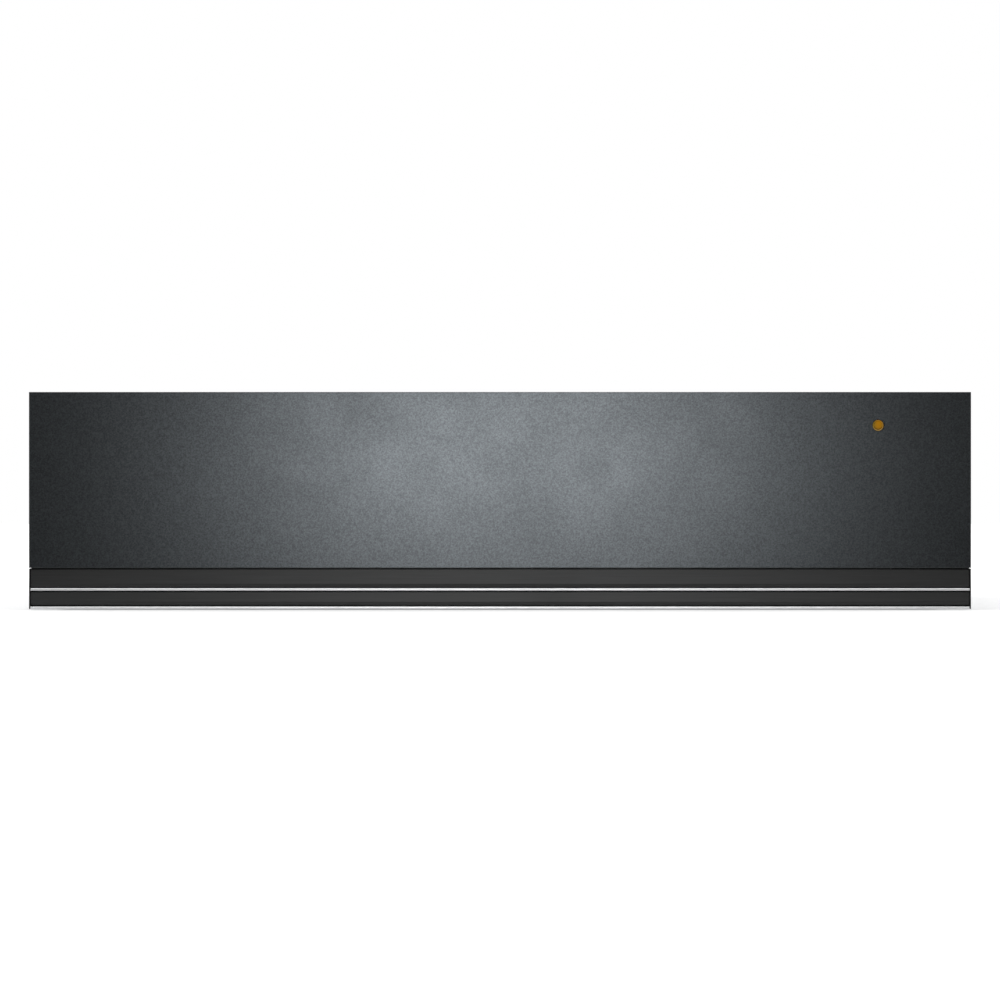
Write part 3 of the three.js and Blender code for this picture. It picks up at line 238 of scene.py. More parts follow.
def turnedShape(profile, steps=40):
    # A profile of (radius, height) pairs turned about Z
    shape = bmesh.new()
    verts = [shape.verts.new((radius, 0.0, along)) for radius, along in profile]
    edges = [shape.edges.new(pair) for pair in zip(verts, verts[1:])]
    bmesh.ops.spin(shape, geom=verts + edges, cent=(0, 0, 0), axis=(0, 0, 1),
                   angle=math.tau, steps=steps, use_merge=True)
    return closeSeams(shape)


def newVerts(made):
    return [item for item in made["geom"] if isinstance(item, bmesh.types.BMVert)]


def thicken(shape, reach):
    # Pushes flat faces along a vector and closes the sides
    made = bmesh.ops.extrude_face_region(shape, geom=shape.faces[:])
    bmesh.ops.translate(shape, vec=reach, verts=newVerts(made))
    bmesh.ops.recalc_face_normals(shape, faces=shape.faces)
    return shape


def extrudedShape(points, reach):
    shape = bmesh.new()
    shape.faces.new([shape.verts.new(point) for point in points])
    return thicken(shape, reach)


def roundedRing(x, y, z, radius, steps):
    # Points of a rectangle with rounded corners
    points = []
    corners = ((x[1] - radius, y[1] - radius, 0.0), (x[0] + radius, y[1] - radius, 90.0),
               (x[0] + radius, y[0] + radius, 180.0), (x[1] - radius, y[0] + radius, 270.0))
    for centreX, centreY, start in corners:
        for step in range(steps + 1):
            angle = math.radians(start + 90.0 * step / steps)
            points.append((centreX + radius * math.cos(angle), centreY + radius * math.sin(angle), z))
    return points


def stackRings(rings, capped=False):
    # The first ring of points is extruded to each next one
    shape = bmesh.new()
    verts = [shape.verts.new(point) for point in rings[0]]
    for pair in zip(verts, verts[1:] + verts[:1]):
        shape.edges.new(pair)
    for ring in rings[1:]:
        edges = [shape.edges.get(pair) for pair in zip(verts, verts[1:] + verts[:1])]
        fresh = set(newVerts(bmesh.ops.extrude_edge_only(shape, edges=edges)))
        verts = [next(edge.other_vert(vert) for edge in vert.link_edges if edge.other_vert(vert) in fresh)
                 for vert in verts]
        for vert, point in zip(verts, ring):
            vert.co = point
    if capped:
        rims = [edge for edge in shape.edges if edge.is_boundary]
        bmesh.ops.holes_fill(shape, edges=rims, sides=0)
    bmesh.ops.recalc_face_normals(shape, faces=shape.faces)
    return shape


def addTo(shape, other, matrix=None):
    # Joins a copy of the other shape, moved by the matrix; the other goes
    carrier = bpy.data.meshes.new("carrier")
    other.to_mesh(carrier)
    other.free()
    if matrix is not None:
        carrier.transform(matrix)
    shape.from_mesh(carrier)
    bpy.data.meshes.remove(carrier)
    return shape


def turnTo(axis):
    # Turns a shape made along Z so that it points along an axis
    return Vector((0.0, 0.0, 1.0)).rotation_difference(Vector(axis)).to_matrix().to_4x4()


def movedShape(shape, place, axis=(0.0, 0.0, 1.0)):
    return addTo(bmesh.new(), shape, Matrix.Translation(place) @ turnTo(axis))


def helper(data):
    # An object that only stands in the scene until its shape is read
    made = bpy.data.objects.new("helper", data)
    scene.collection.objects.link(made)
    return made


def helperOf(shape):
    mesh = bpy.data.meshes.new("helper")
    shape.to_mesh(mesh)
    shape.free()
    return helper(mesh)


def evaluatedShape(source):
    # The shape of a helper as its modifiers leave it; the helper goes
    bpy.context.view_layer.update()
    evaluated = source.evaluated_get(bpy.context.evaluated_depsgraph_get())
    shape = bmesh.new()
    shape.from_mesh(evaluated.to_mesh())
    evaluated.to_mesh_clear()
    bpy.data.batch_remove([source, source.data])
    return shape


def cutShape(shape, cutter):
    # Takes the cutter out of the shape
    kept, taken = helperOf(shape), helperOf(cutter)
    cut = kept.modifiers.new("cut", "BOOLEAN")
    cut.operation = "DIFFERENCE"
    cut.solver = "EXACT"
    cut.object = taken
    result = evaluatedShape(kept)
    bpy.data.batch_remove([taken, taken.data])
    return result


def nodeShape(nodeName):
    # A merged copy of a CAD node, with its flat faces made whole
    shape = bmesh.new()
    shape.from_mesh(frame["nodes"][nodeName].data)
    bmesh.ops.remove_doubles(shape, verts=shape.verts, dist=2e-6)
    bmesh.ops.dissolve_limit(shape, angle_limit=math.radians(0.4), verts=shape.verts,
                             edges=shape.edges)
    return shape


finishes = {}


def makePiece(name, shape, body, slotName, replaces=(), finish=None, sharp=38.0, even=True):
    # A piece without a body is blended by its caller; even: large faces rule the shading of round edges
    mesh = bpy.data.meshes.new(name)
    shape.to_mesh(mesh)
    shape.free()
    mesh.shade_smooth()
    mesh.set_sharp_from_angle(angle=math.radians(sharp))
    mesh.materials.append(finishes[finish or slotName])
    made = bpy.data.objects.new(name, mesh)
    scene.collection.objects.link(made)
    if even:
        made.modifiers.new("evenShading", "WEIGHTED_NORMAL").keep_sharp = True
    if body:
        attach(made, body)
    if replaces:
        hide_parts(*replaces)
    return made


def softenNodes(widths, segments=2):
    # The CAD forms again, with their sharp edges eased by so many mm, as on pressed or moulded pieces
    for nodeName, width in widths.items():
        shape = nodeShape(nodeName)
        roundEdges(shape, sharpEdges(shape), width * mm, segments)
        makePiece(nodeName + "_form", shape, nodeBody[nodeName], nodeSlot[nodeName], replaces=[nodeName])


def tubePiece(name, points, radius, body, slotName, replaces=(), resolution=4):
    curve = bpy.data.curves.new(name, "CURVE")
    curve.dimensions = "3D"
    curve.bevel_depth = radius
    curve.bevel_resolution = resolution
    curve.use_fill_caps = True
    line = curve.splines.new("POLY")
    line.points.add(len(points) - 1)
    for place, point in zip(line.points, points):
        place.co = (*point, 1.0)
    shape = closeSeams(evaluatedShape(helper(curve)), 1e-6)
    return makePiece(name, shape, body, slotName, replaces=replaces, sharp=50.0, even=False)


def smoothRoute(points, stepsPerSpan):
    # A centripetal curve through the points, so that uneven spans don't bulge
    ends = [2 * points[0] - points[1]] + points + [2 * points[-1] - points[-2]]
    route = []
    for a, b, c, d in zip(ends, ends[1:], ends[2:], ends[3:]):
        before, span, after = [math.sqrt((second - first).length)
                               for first, second in ((a, b), (b, c), (c, d))]
        leave = ((b - a) / before - (c - a) / (before + span) + (c - b) / span) * span
        arrive = ((c - b) / span - (d - b) / (span + after) + (d - c) / after) * span
        for step in range(stepsPerSpan):
            t = step / stepsPerSpan
            route.append(b + leave * t + (3 * (c - b) - 2 * leave - arrive) * t * t
                         + (2 * (b - c) + leave + arrive) * t * t * t)
    route.append(points[-1])
    return route


# Finishes
print("warming drawer: finishes")

noiseRange = (0.3, 0.7)  # noise seldom leaves this range

# fine, slow, grain and specks multiply the scale of their pattern
patterns = {
    "flecks": {"fine": 2.7, "coarseShare": 0.55, "contrast": (0.36, 0.64), "slow": 0.03},
    "spangle": {"bend": 0.012, "toneShare": 0.75, "grain": 14.0},
    "brushed": {"contrast": (0.3, 0.7), "lineShare": 0.6, "slow": 0.12},
    "peel": {"bumpShare": 0.5, "slow": 0.02},
    "fibre": {"directions": ((1.0, 6.0, 3.0), (6.0, 1.0, 3.0)), "contrast": (0.35, 0.8)},
    "tracks": {"uneven": 0.35, "lines": (0.06, 0.1), "grain": 10.0},
}
wear = {
    "scale": 14.0,
    "specks": 40.0,
    "smudgeRange": (0.48, 0.78),
    "dustRange": (0.68, 0.78),
    "dustStrength": 4.0,
    "dustColour": (0.45, 0.43, 0.4, 1.0),
}


def startGroup(name):
    tree = bpy.data.node_groups.new(name, "ShaderNodeTree")
    for socket, side, kind in (("Vector", "INPUT", "Vector"), ("Scale", "INPUT", "Float"),
                               ("Depth", "INPUT", "Float"), ("Shade", "OUTPUT", "Float"),
                               ("Gloss", "OUTPUT", "Float"), ("Normal", "OUTPUT", "Vector")):
        tree.interface.new_socket(name=socket, in_out=side, socket_type="NodeSocket" + kind)
    start = tree.nodes.new("NodeGroupInput")
    return tree, start.outputs["Vector"], start.outputs["Scale"], start.outputs["Depth"]


def endGroup(tree, shade, gloss, height, depth):
    bump = node(tree, "ShaderNodeBump", {"Height": height, "Distance": depth, "Strength": 1.0})
    node(tree, "NodeGroupOutput", {"Shade": shade, "Gloss": gloss, "Normal": bump.outputs["Normal"]})
    return tree


def noise(tree, vector, scale, detail=2.0, roughness=0.5):
    made = node(tree, "ShaderNodeTexNoise", {
        "Vector": vector, "Scale": scale, "Detail": detail, "Roughness": roughness,
    })
    return made.outputs["Fac"]


def fleckGroup(values):
    # Metallic flakes of two sizes under a satin surface
    tree, vector, scale, depth = startGroup("metallicFlecks")
    coarse = noise(tree, vector, scale, 1.0)
    fine = noise(tree, vector, times(tree, scale, values["fine"]), 1.0)
    both = mixValue(tree, values["coarseShare"], fine, coarse)
    gloss = noise(tree, vector, times(tree, scale, values["slow"]))
    return endGroup(tree, spread(tree, both, 0.0, 1.0, *values["contrast"]), gloss, both, depth)


def spangleGroup(values):
    # Zinc crystals, each with its own shade, under a fine grain
    tree, vector, scale, depth = startGroup("zincSpangle")
    bent = node(tree, "ShaderNodeTexNoise", {"Vector": vector, "Scale": scale, "Detail": 2.0})
    shift = vectorNode(tree, "SUBTRACT", bent.outputs["Color"], (0.5, 0.5, 0.5))
    shift = vectorNode(tree, "MULTIPLY", shift, (values["bend"],) * 3)
    cells = node(tree, "ShaderNodeTexVoronoi", {
        "Vector": vectorNode(tree, "ADD", vector, shift), "Scale": scale,
    })
    tone = node(tree, "ShaderNodeSeparateColor", {"Color": cells.outputs["Color"]})
    grain = noise(tree, vector, times(tree, scale, values["grain"]), 3.0)
    shade = mixValue(tree, values["toneShare"], grain, tone.outputs[0])
    return endGroup(tree, shade, tone.outputs[1], grain, depth)


def brushedGroup(values):
    # Fine lines along the long axis of the stretched vector
    tree, vector, scale, depth = startGroup("brushedLines")
    lines = noise(tree, vector, scale, 4.0, 0.7)
    slow = noise(tree, vector, times(tree, scale, values["slow"]))
    gloss = mixValue(tree, values["lineShare"], slow, lines)
    return endGroup(tree, spread(tree, lines, 0.0, 1.0, *values["contrast"]), gloss, lines, depth)


def peelGroup(values):
    # The small bumps of powder paint or of spark-eroded plastic
    tree, vector, scale, depth = startGroup("fineTexture")
    bumps = noise(tree, vector, scale, 3.0, 0.6)
    slow = noise(tree, vector, times(tree, scale, values["slow"]), 3.0)
    return endGroup(tree, mixValue(tree, values["bumpShare"], slow, bumps), slow, bumps, depth)


def fibreGroup(values):
    # Matted fibres of mineral wool
    tree, vector, scale, depth = startGroup("mattedFibre")
    fibres = []
    for direction in values["directions"]:
        drawn = node(tree, "ShaderNodeMapping", {"Vector": vector, "Scale": direction})
        fibres.append(noise(tree, drawn.outputs[0], scale, 4.0, 0.7))
    mat = mathNode(tree, "MAXIMUM", *fibres)
    return endGroup(tree, spread(tree, mat, 0.0, 1.0, *values["contrast"]), fibres[0], mat, depth)


def ribGroup():
    # The weave of a silicone heating mat
    tree, vector, scale, depth = startGroup("matWeave")
    rows, columns = [node(tree, "ShaderNodeTexWave", {"Vector": vector, "Scale": scale},
                          bands_direction=axis).outputs["Fac"] for axis in "XY"]
    weave = mathNode(tree, "MAXIMUM", rows, columns)
    return endGroup(tree, weave, rows, weave, depth)


def trackGroup(values):
    # Copper tracks under the green lacquer of a circuit board
    tree, vector, scale, depth = startGroup("boardTracks")
    cells = node(tree, "ShaderNodeTexVoronoi", {
        "Vector": vector, "Scale": scale, "Randomness": values["uneven"],
    }, feature="DISTANCE_TO_EDGE")
    lines = spread(tree, cells.outputs["Distance"], 1.0, 0.0, *values["lines"])
    grain = noise(tree, vector, times(tree, scale, values["grain"]))
    return endGroup(tree, lines, grain, lines, depth)


def wearGroup(values):
    # Faint smudges and dust that lie over any finish
    tree, vector, scale, depth = startGroup("handlingMarks")
    clouds = noise(tree, vector, scale, 4.0, 0.65)
    specks = noise(tree, vector, times(tree, scale, values["specks"]), 1.0)
    smudges = spread(tree, clouds, 0.0, 1.0, *values["smudgeRange"], smooth=True)
    dust = spread(tree, specks, 0.0, 1.0, *values["dustRange"], smooth=True)
    return endGroup(tree, smudges, dust, clouds, depth)


groups = {
    "flecks": fleckGroup(patterns["flecks"]),
    "spangle": spangleGroup(patterns["spangle"]),
    "brushed": brushedGroup(patterns["brushed"]),
    "peel": peelGroup(patterns["peel"]),
    "fibre": fibreGroup(patterns["fibre"]),
    "ribs": ribGroup(),
    "tracks": trackGroup(patterns["tracks"]),
}
handlingMarks = wearGroup(wear)

# A finish is its pattern, the pattern's scale and the depth of its bumps, the colours at its two ends,
# the roughness at its two ends, and what differs from a plain finish.
# marks: how strongly smudges change the gloss; dust: how strongly dust shows
looks = {
    "anthracite_glass": ("flecks", 1150.0, 2.4e-6, (0.038, 0.042, 0.0448), (0.069, 0.0754, 0.0805),
        (0.308, 0.332), {"metal": 0.89, "marks": 0.01}),
    "dark_anodised": ("brushed", 900.0, 1.5e-6, (0.041, 0.0415, 0.0415), (0.051, 0.0515, 0.0515),
        (0.45, 0.5), {"stretch": (0.02, 1.0, 1.0), "metal": 0.8, "marks": 0.03}),
    "polished_trim": ("brushed", 1500.0, 6e-7, (0.83, 0.84, 0.85), (0.9, 0.91, 0.92),
        (0.42, 0.5), {"stretch": (0.01, 1.0, 1.0), "metal": 1.0}),
    "black_steel": ("peel", 1400.0, 2.5e-5, (0.008, 0.008, 0.0085), (0.014, 0.014, 0.015),
        (0.42, 0.55), {"marks": 0.08, "dust": 0.05}),
    "galvanised_steel": ("spangle", 230.0, 3e-6, (0.34, 0.355, 0.37), (0.46, 0.475, 0.49),
        (0.38, 0.47), {"metal": 0.7, "marks": 0.06, "dust": 0.04}),
    "stainless_steel": ("brushed", 1300.0, 2.5e-6, (0.52, 0.52, 0.51), (0.64, 0.64, 0.63),
        (0.25, 0.36), {"stretch": (0.012, 1.0, 1.0), "metal": 0.9, "marks": 0.04}),
    "zinc_plated_steel": ("peel", 700.0, 2e-6, (0.56, 0.575, 0.6), (0.7, 0.71, 0.73),
        (0.29, 0.38), {"metal": 0.9, "marks": 0.1, "dust": 0.02}),
    "heated_glass": ("flecks", 1600.0, 4e-7, (0.008, 0.009, 0.01), (0.013, 0.014, 0.016),
        (0.05, 0.08), {"marks": 0.1, "dust": 0.02}),
    "amber_lens": ("peel", 1400.0, 4e-6, (0.31, 0.135, 0.0), (0.38, 0.165, 0.0),
        (0.42, 0.5), {"marks": 0.02, "specular": 0.08}),
    "groundEdge": ("peel", 2400.0, 6e-6, (0.045, 0.051, 0.05), (0.068, 0.076, 0.074),
        (0.4, 0.5), {"marks": 0.04, "dust": 0.02}),
    "clear_acrylic": ("peel", 300.0, 1e-6, (0.86, 0.9, 0.9), (0.92, 0.95, 0.95),
        (0.04, 0.08), {"clear": 1.0}),
    "black_plastic": ("peel", 2200.0, 1.2e-5, (0.01, 0.01, 0.0105), (0.017, 0.017, 0.018),
        (0.4, 0.5), {"marks": 0.06, "dust": 0.03}),
    "grey_plastic": ("peel", 2200.0, 1.2e-5, (0.26, 0.27, 0.28), (0.32, 0.33, 0.34),
        (0.4, 0.52), {"marks": 0.06, "dust": 0.02}),
    "rubber": ("peel", 1700.0, 2e-5, (0.012, 0.012, 0.012), (0.022, 0.022, 0.022),
        (0.72, 0.86), {"marks": 0.04, "dust": 0.1}),
    "silicone_mat": ("ribs", 190.0, 8e-5, (0.38, 0.1, 0.035), (0.46, 0.14, 0.05),
        (0.6, 0.7), {}),
    "mineral_wool": ("fibre", 160.0, 6e-4, (0.42, 0.36, 0.22), (0.62, 0.56, 0.4),
        (0.9, 0.98), {"marks": 0.02}),
    "circuit_board": ("tracks", 260.0, 2e-5, (0.012, 0.085, 0.04), (0.025, 0.16, 0.07),
        (0.3, 0.42), {"marks": 0.02}),
    "lead_sheath": ("peel", 1500.0, 1e-5, (0.014, 0.014, 0.0145), (0.022, 0.022, 0.023),
        (0.46, 0.56), {"dust": 0.04}),
    "brass": ("brushed", 1500.0, 1e-6, (0.62, 0.5, 0.24), (0.74, 0.6, 0.32),
        (0.2, 0.32), {"stretch": (1.0, 0.05, 1.0), "metal": 1.0, "marks": 0.08}),
    "whitePrint": ("peel", 2600.0, 2e-6, (0.62, 0.62, 0.61), (0.74, 0.74, 0.73),
        (0.5, 0.6), {"marks": 0.02}),
    "darkPrint": ("peel", 2600.0, 2e-6, (0.012, 0.012, 0.012), (0.02, 0.02, 0.02),
        (0.5, 0.6), {"marks": 0.02}),
    "sealant": ("peel", 1200.0, 4e-6, (0.02, 0.02, 0.021), (0.035, 0.035, 0.036),
        (0.35, 0.45), {"dust": 0.06}),
}


def makeFinish(name, pattern, scale, depth, colour, shade, rough, stretch=(1.0, 1.0, 1.0), metal=0.0,
               marks=0.05, dust=0.0, clear=0.0, specular=0.5):
    material = bpy.data.materials.new(name)
    material.use_nodes = True
    tree = material.node_tree
    tree.nodes.clear()
    place = objectPlace(tree)
    drawn = node(tree, "ShaderNodeMapping", {"Vector": place, "Scale": stretch})
    surface = node(tree, "ShaderNodeGroup", {
        "Vector": drawn.outputs[0], "Scale": scale, "Depth": depth,
    }, node_tree=groups[pattern])
    worn = node(tree, "ShaderNodeGroup", {"Vector": place, "Scale": wear["scale"]}, node_tree=handlingMarks)
    tone = mixColour(tree, surface.outputs["Shade"], (*colour, 1.0), (*shade, 1.0))
    if dust:
        share = times(tree, worn.outputs["Gloss"], dust * wear["dustStrength"])
        tone = mixColour(tree, share, tone, wear["dustColour"])
    gloss = spread(tree, surface.outputs["Gloss"], *rough, *noiseRange)
    gloss = mathNode(tree, "ADD", gloss, times(tree, worn.outputs["Shade"], marks))
    shader = node(tree, "ShaderNodeBsdfPrincipled", {
        "Base Color": tone, "Roughness": gloss, "Metallic": metal, "Normal": surface.outputs["Normal"],
        "Transmission Weight": clear, "Specular IOR Level": specular,
    })
    node(tree, "ShaderNodeOutputMaterial", {"Surface": shader.outputs[0]})
    return material


for finishName, (*values, others) in looks.items():
    finishes[finishName] = makeFinish(finishName, *values, **others)

# Every CAD node takes its slot's finish; the pieces below then stand for those that show
for nodeName, cadObject in frame["nodes"].items():
    for index in range(len(cadObject.material_slots)):
        cadObject.material_slots[index].material = finishes[nodeSlot[nodeName]]

# Floor
floorLook = {
    "halfSize": 12.0,
    "drop": 0.2 * mm,
    "grain": 6.0,
    "colour": (0.86, 0.86, 0.86, 1.0),
    "grainColour": (0.9, 0.9, 0.9, 1.0),
    "glow": 0.3,
    "whiteFrom": 0.6,
    "whiteTo": 1.5,
    "darkest": 0.96,
    "darkFrom": 0.22,
    "darkTo": 0.36,
}


def floorFinish():
    material = bpy.data.materials.new("paleFloor")
    material.use_nodes = True
    tree = material.node_tree
    tree.nodes.clear()
    place = objectPlace(tree)
    path = node(tree, "ShaderNodeLightPath")
    tone = mixColour(tree, noise(tree, place, floorLook["grain"], 3.0), floorLook["colour"],
                     floorLook["grainColour"])
    seen = mathNode(tree, "MAXIMUM", path.outputs["Is Camera Ray"], path.outputs["Is Glossy Ray"])
    seen = mathNode(tree, "MAXIMUM", seen, path.outputs["Is Transmission Ray"])
    # The floor ahead of the front belongs to the dark side of the room, but only as metal and glass see it
    axes = node(tree, "ShaderNodeSeparateXYZ", {"Vector": place})
    ahead = spread(tree, times(tree, axes.outputs["Y"], -1.0), 0.0, floorLook["darkest"],
                   floorLook["darkFrom"], floorLook["darkTo"])
    kept = mathNode(tree, "SUBTRACT", 1.0, times(tree, ahead, path.outputs["Is Glossy Ray"]))
    plain = node(tree, "ShaderNodeBsdfDiffuse", {"Color": mixColour(tree, kept, (0.0, 0.0, 0.0, 1.0), tone)})
    # Away from the object the floor turns as white as the background
    distance = node(tree, "ShaderNodeVectorMath", {0: place}, operation="LENGTH").outputs["Value"]
    far = spread(tree, distance, 0.0, 1.0, floorLook["whiteFrom"], floorLook["whiteTo"], smooth=True)
    level = mixValue(tree, far, floorLook["glow"], 1.0)
    glow = node(tree, "ShaderNodeEmission", {
        "Color": (1.0, 1.0, 1.0, 1.0), "Strength": times(tree, times(tree, seen, kept), level),
    })
    both = node(tree, "ShaderNodeAddShader", {0: plain.outputs[0], 1: glow.outputs[0]})
    node(tree, "ShaderNodeOutputMaterial", {"Surface": both.outputs[0]})
    return material


floorShape = bmesh.new()
bmesh.ops.create_grid(floorShape, x_segments=2, y_segments=2, size=floorLook["halfSize"])
bmesh.ops.translate(floorShape, vec=(0.0, 0.0, -floorLook["drop"]), verts=floorShape.verts)
floorMesh = bpy.data.meshes.new("floor")
floorShape.to_mesh(floorMesh)
floorShape.free()
floorMesh.materials.append(floorFinish())
floor = bpy.data.objects.new("floor", floorMesh)
scene.collection.objects.link(floor)

# Fasteners, made once and placed many times
print("warming drawer: fasteners")

# Shares of the head's radius and height; recessTurn is in radians, domeTo in degrees
screwHead = {
    "rim": 0.42,
    "sunk": 0.2,
    "recessReach": 0.58,
    "recessHalf": 0.14,
    "recessTop": 1.4,
    "recessDepth": 1.05,
    "recessTaper": 0.55,
    "recessTurn": 0.05,
}
rivet = {"sunk": 0.3, "foot": 0.98, "domeTo": 60, "pin": 0.36, "pinTop": 0.9, "pinFloor": 0.62, "taper": 0.9}


def panHeadScrew(radius, height):
    # A domed head with a cross recess, standing on z = 0
    rim, sunk = height * screwHead["rim"], height * screwHead["sunk"]
    head = turnedShape([(0.0, -sunk), (radius, -sunk)] + arc(radius, height - rim, 0, 90, 15, rim), 32)
    reach, half = radius * screwHead["recessReach"], radius * screwHead["recessHalf"]
    corners = []
    for quarter in range(4):
        turn = Matrix.Rotation(quarter * math.pi / 2.0 + screwHead["recessTurn"], 2)
        corners += [turn @ Vector(corner) for corner in ((reach, -half), (reach, half), (half, half))]
    recess = extrudedShape([(x, y, height * screwHead["recessTop"]) for x, y in corners],
                           (0.0, 0.0, -height * screwHead["recessDepth"]))
    taper = screwHead["recessTaper"]
    bottom = [vert for vert in recess.verts if vert.co.z < height]
    bmesh.ops.scale(recess, vec=(taper, taper, 1.0), verts=bottom)
    return cutShape(head, recess)


def rivetHead(radius, height):
    # A low dome with the hollow that its broken-off pin leaves
    pin, hollow, sunk = radius * rivet["pin"], height * rivet["pinFloor"], height * rivet["sunk"]
    profile = [(0.0, -sunk), (radius * rivet["foot"], -sunk), (radius, 0.0)]
    profile += arc(radius, height, 0, rivet["domeTo"], 12)
    profile += [(pin, height * rivet["pinTop"]), (pin * rivet["taper"], hollow), (0.0, hollow)]
    return turnedShape(profile, 28)


def placeMany(name, master, places, axis, body):
    # One piece that holds a row of the same fastener
    shape = bmesh.new()
    chance = random.Random(len(places) + len(name))
    for place in places:
        spin = Matrix.Rotation(chance.uniform(0.0, math.tau), 4, "Z")
        addTo(shape, master.copy(), Matrix.Translation(Vector(place)) @ turnTo(axis) @ spin)
    master.free()
    return makePiece(name, shape, body, "zinc_plated_steel")


# Front: glass, trim and operating light
print("warming drawer: front")

glassLow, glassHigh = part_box("front_glass")
lensLow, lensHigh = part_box("indicator_lens")
lensCentre = (lensLow + lensHigh) / 2.0

frontGlass = {
    "edgeRounding": 0.3 * mm,
    "edgeSegments": 4,
    "holeRadius": 3.8 * mm,
    "holeSteps": 64,
    "groundFrom": 0.9,  # the part of the edge rounding that is ground matt starts here
}


def glassPlate():
    shape = bmesh.new()
    corners = [(glassLow.x, glassLow.z), (glassHigh.x, glassLow.z),
               (glassHigh.x, glassHigh.z), (glassLow.x, glassHigh.z)]
    outer = [shape.verts.new((x, glassHigh.y, z)) for x, z in corners]
    for first, second in zip(outer, outer[1:] + outer[:1]):
        shape.edges.new((first, second))
    bmesh.ops.create_circle(
        shape, cap_ends=False, segments=frontGlass["holeSteps"], radius=frontGlass["holeRadius"],
        matrix=Matrix.Translation((lensCentre.x, glassHigh.y, lensCentre.z))
        @ Matrix.Rotation(math.radians(90.0), 4, "X"))
    bmesh.ops.triangle_fill(shape, use_beauty=True, use_dissolve=False, edges=shape.edges)
    thicken(shape, (0.0, glassLow.y - glassHigh.y, 0.0))
    onRim = 1e-5
    rim = [edge for edge in sharpEdges(shape, 60.0)
           if all(abs(abs(vert.co.x) - glassHigh.x) < onRim
                  or min(abs(vert.co.z - glassLow.z), abs(vert.co.z - glassHigh.z)) < onRim
                  for vert in edge.verts)]
    roundEdges(shape, rim, frontGlass["edgeRounding"], frontGlass["edgeSegments"])
    shape.normal_update()
    # The long edges are ground matt over their whole round, the short ones only on their flat
    for face in shape.faces:
        across, out, up = (abs(value) for value in face.normal)
        longEdge = up > across and out < frontGlass["groundFrom"]
        shortEdge = across > up and out < 1.0 - frontGlass["groundFrom"]
        inHole = (face.calc_center_median() - lensCentre).length < 2.0 * frontGlass["holeRadius"]
        face.material_index = 1 if (longEdge or shortEdge) and not inHole else 0
    return shape


glassPiece = makePiece("glass_front", glassPlate(), "drawer", "anthracite_glass", replaces=["front_glass"])
glassPiece.data.materials.append(finishes["groundEdge"])

stripShape = {"chamferHeight": 1.9 * mm, "chamferDepth": 0.8 * mm, "rounding": 0.18 * mm}
for where in ("upper", "lower"):
    low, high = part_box("trim_strip_" + where)
    shape = extrudedShape([
        (low.x, low.y + stripShape["chamferDepth"], low.z), (low.x, high.y, low.z),
        (low.x, high.y, high.z), (low.x, low.y, high.z),
        (low.x, low.y, low.z + stripShape["chamferHeight"]),
    ], (high.x - low.x, 0.0, 0.0))
    roundEdges(shape, sharpEdges(shape, 15.0), stripShape["rounding"], 3)
    makePiece("strip_" + where, shape, "drawer", "dark_anodised", replaces=["trim_strip_" + where])

# The bars sit a little clear of the grooves: sink holds the mm (below, above)
barShape = {"nose": 0.7 * mm, "segments": 8, "sink": {"upper": (0.16, 0.04), "lower": (0.0, 0.32)}}
for where, (below, above) in barShape["sink"].items():
    low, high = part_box("bright_bar_" + where)
    low.z += below * mm
    high.z -= above * mm
    shape = blockShape(low, high)
    nose = [edge for edge in shape.edges
            if all(abs(vert.co.y - low.y) < 1e-6 for vert in edge.verts)
            and edge.calc_length() > (high.x - low.x) / 2.0]
    roundEdges(shape, nose, barShape["nose"], barShape["segments"])
    makePiece("bar_" + where, shape, "drawer", "polished_trim", replaces=["bright_bar_" + where])

softenNodes({"end_cap_left": 0.2, "end_cap_right": 0.2}, 3)

indicator = {
    "radius": 3.45 * mm,
    "stand": 0.4 * mm,
    "ringStand": 0.2 * mm,
    "depth": 6.0 * mm,
    # (share of the radius, height in mm): a low dome, a groove round it and a raised lip
    "profile": ((0.0, 0.36), (0.2, 0.35), (0.4, 0.3), (0.58, 0.22), (0.7, 0.12), (0.77, 0.0), (0.81, -0.12),
                (0.845, -0.08), (0.88, 0.06), (0.92, 0.12), (0.96, 0.08), (1.0, -0.06)),
    # (mm outside the radius, height in mm): the dark seal round the lens
    "ringProfile": ((0.02, -1.2), (0.02, -0.14), (0.08, -0.04), (0.16, 0.0), (0.23, -0.03), (0.29, -0.1),
                    (0.29, -5.0), (0.02, -5.0), (0.02, -1.2)),
    # Painted light and shade in the amber: it turns greener to the left, paler to the right and darker
    # below:
    # colour, axis, the stretch over which it comes or goes, its shares there
    "paintedLensLightAndShade": (
        ((0.16, 0.115, 0.008, 1.0), "X", (-0.95, -0.05), (0.85, 0.0)),
        ((0.31, 0.17, 0.02, 1.0), "X", (0.35, 1.0), (0.0, 0.8)),
        ((0.2, 0.105, 0.008, 1.0), "Z", (-0.85, -0.15), (0.8, 0.0)),
    ),
    # Painted shade in the groove, and a painted highlight on the paler lip outside it: colour, shares of the
    # radius inside and outside
    "paintedRings": (((0.09, 0.038, 0.0, 1.0), 0.66, 0.8), ((0.4, 0.26, 0.08, 1.0), 0.82, 0.97)),
    # Each fades from 0.5 to 1.2 of its half width, and all are clearest below
    "bandFade": (0.5, 1.2),
    "bandShare": (1.0, 0.25),
    "bandStretch": (-0.7, 0.0),
}
lensRadius = indicator["radius"]
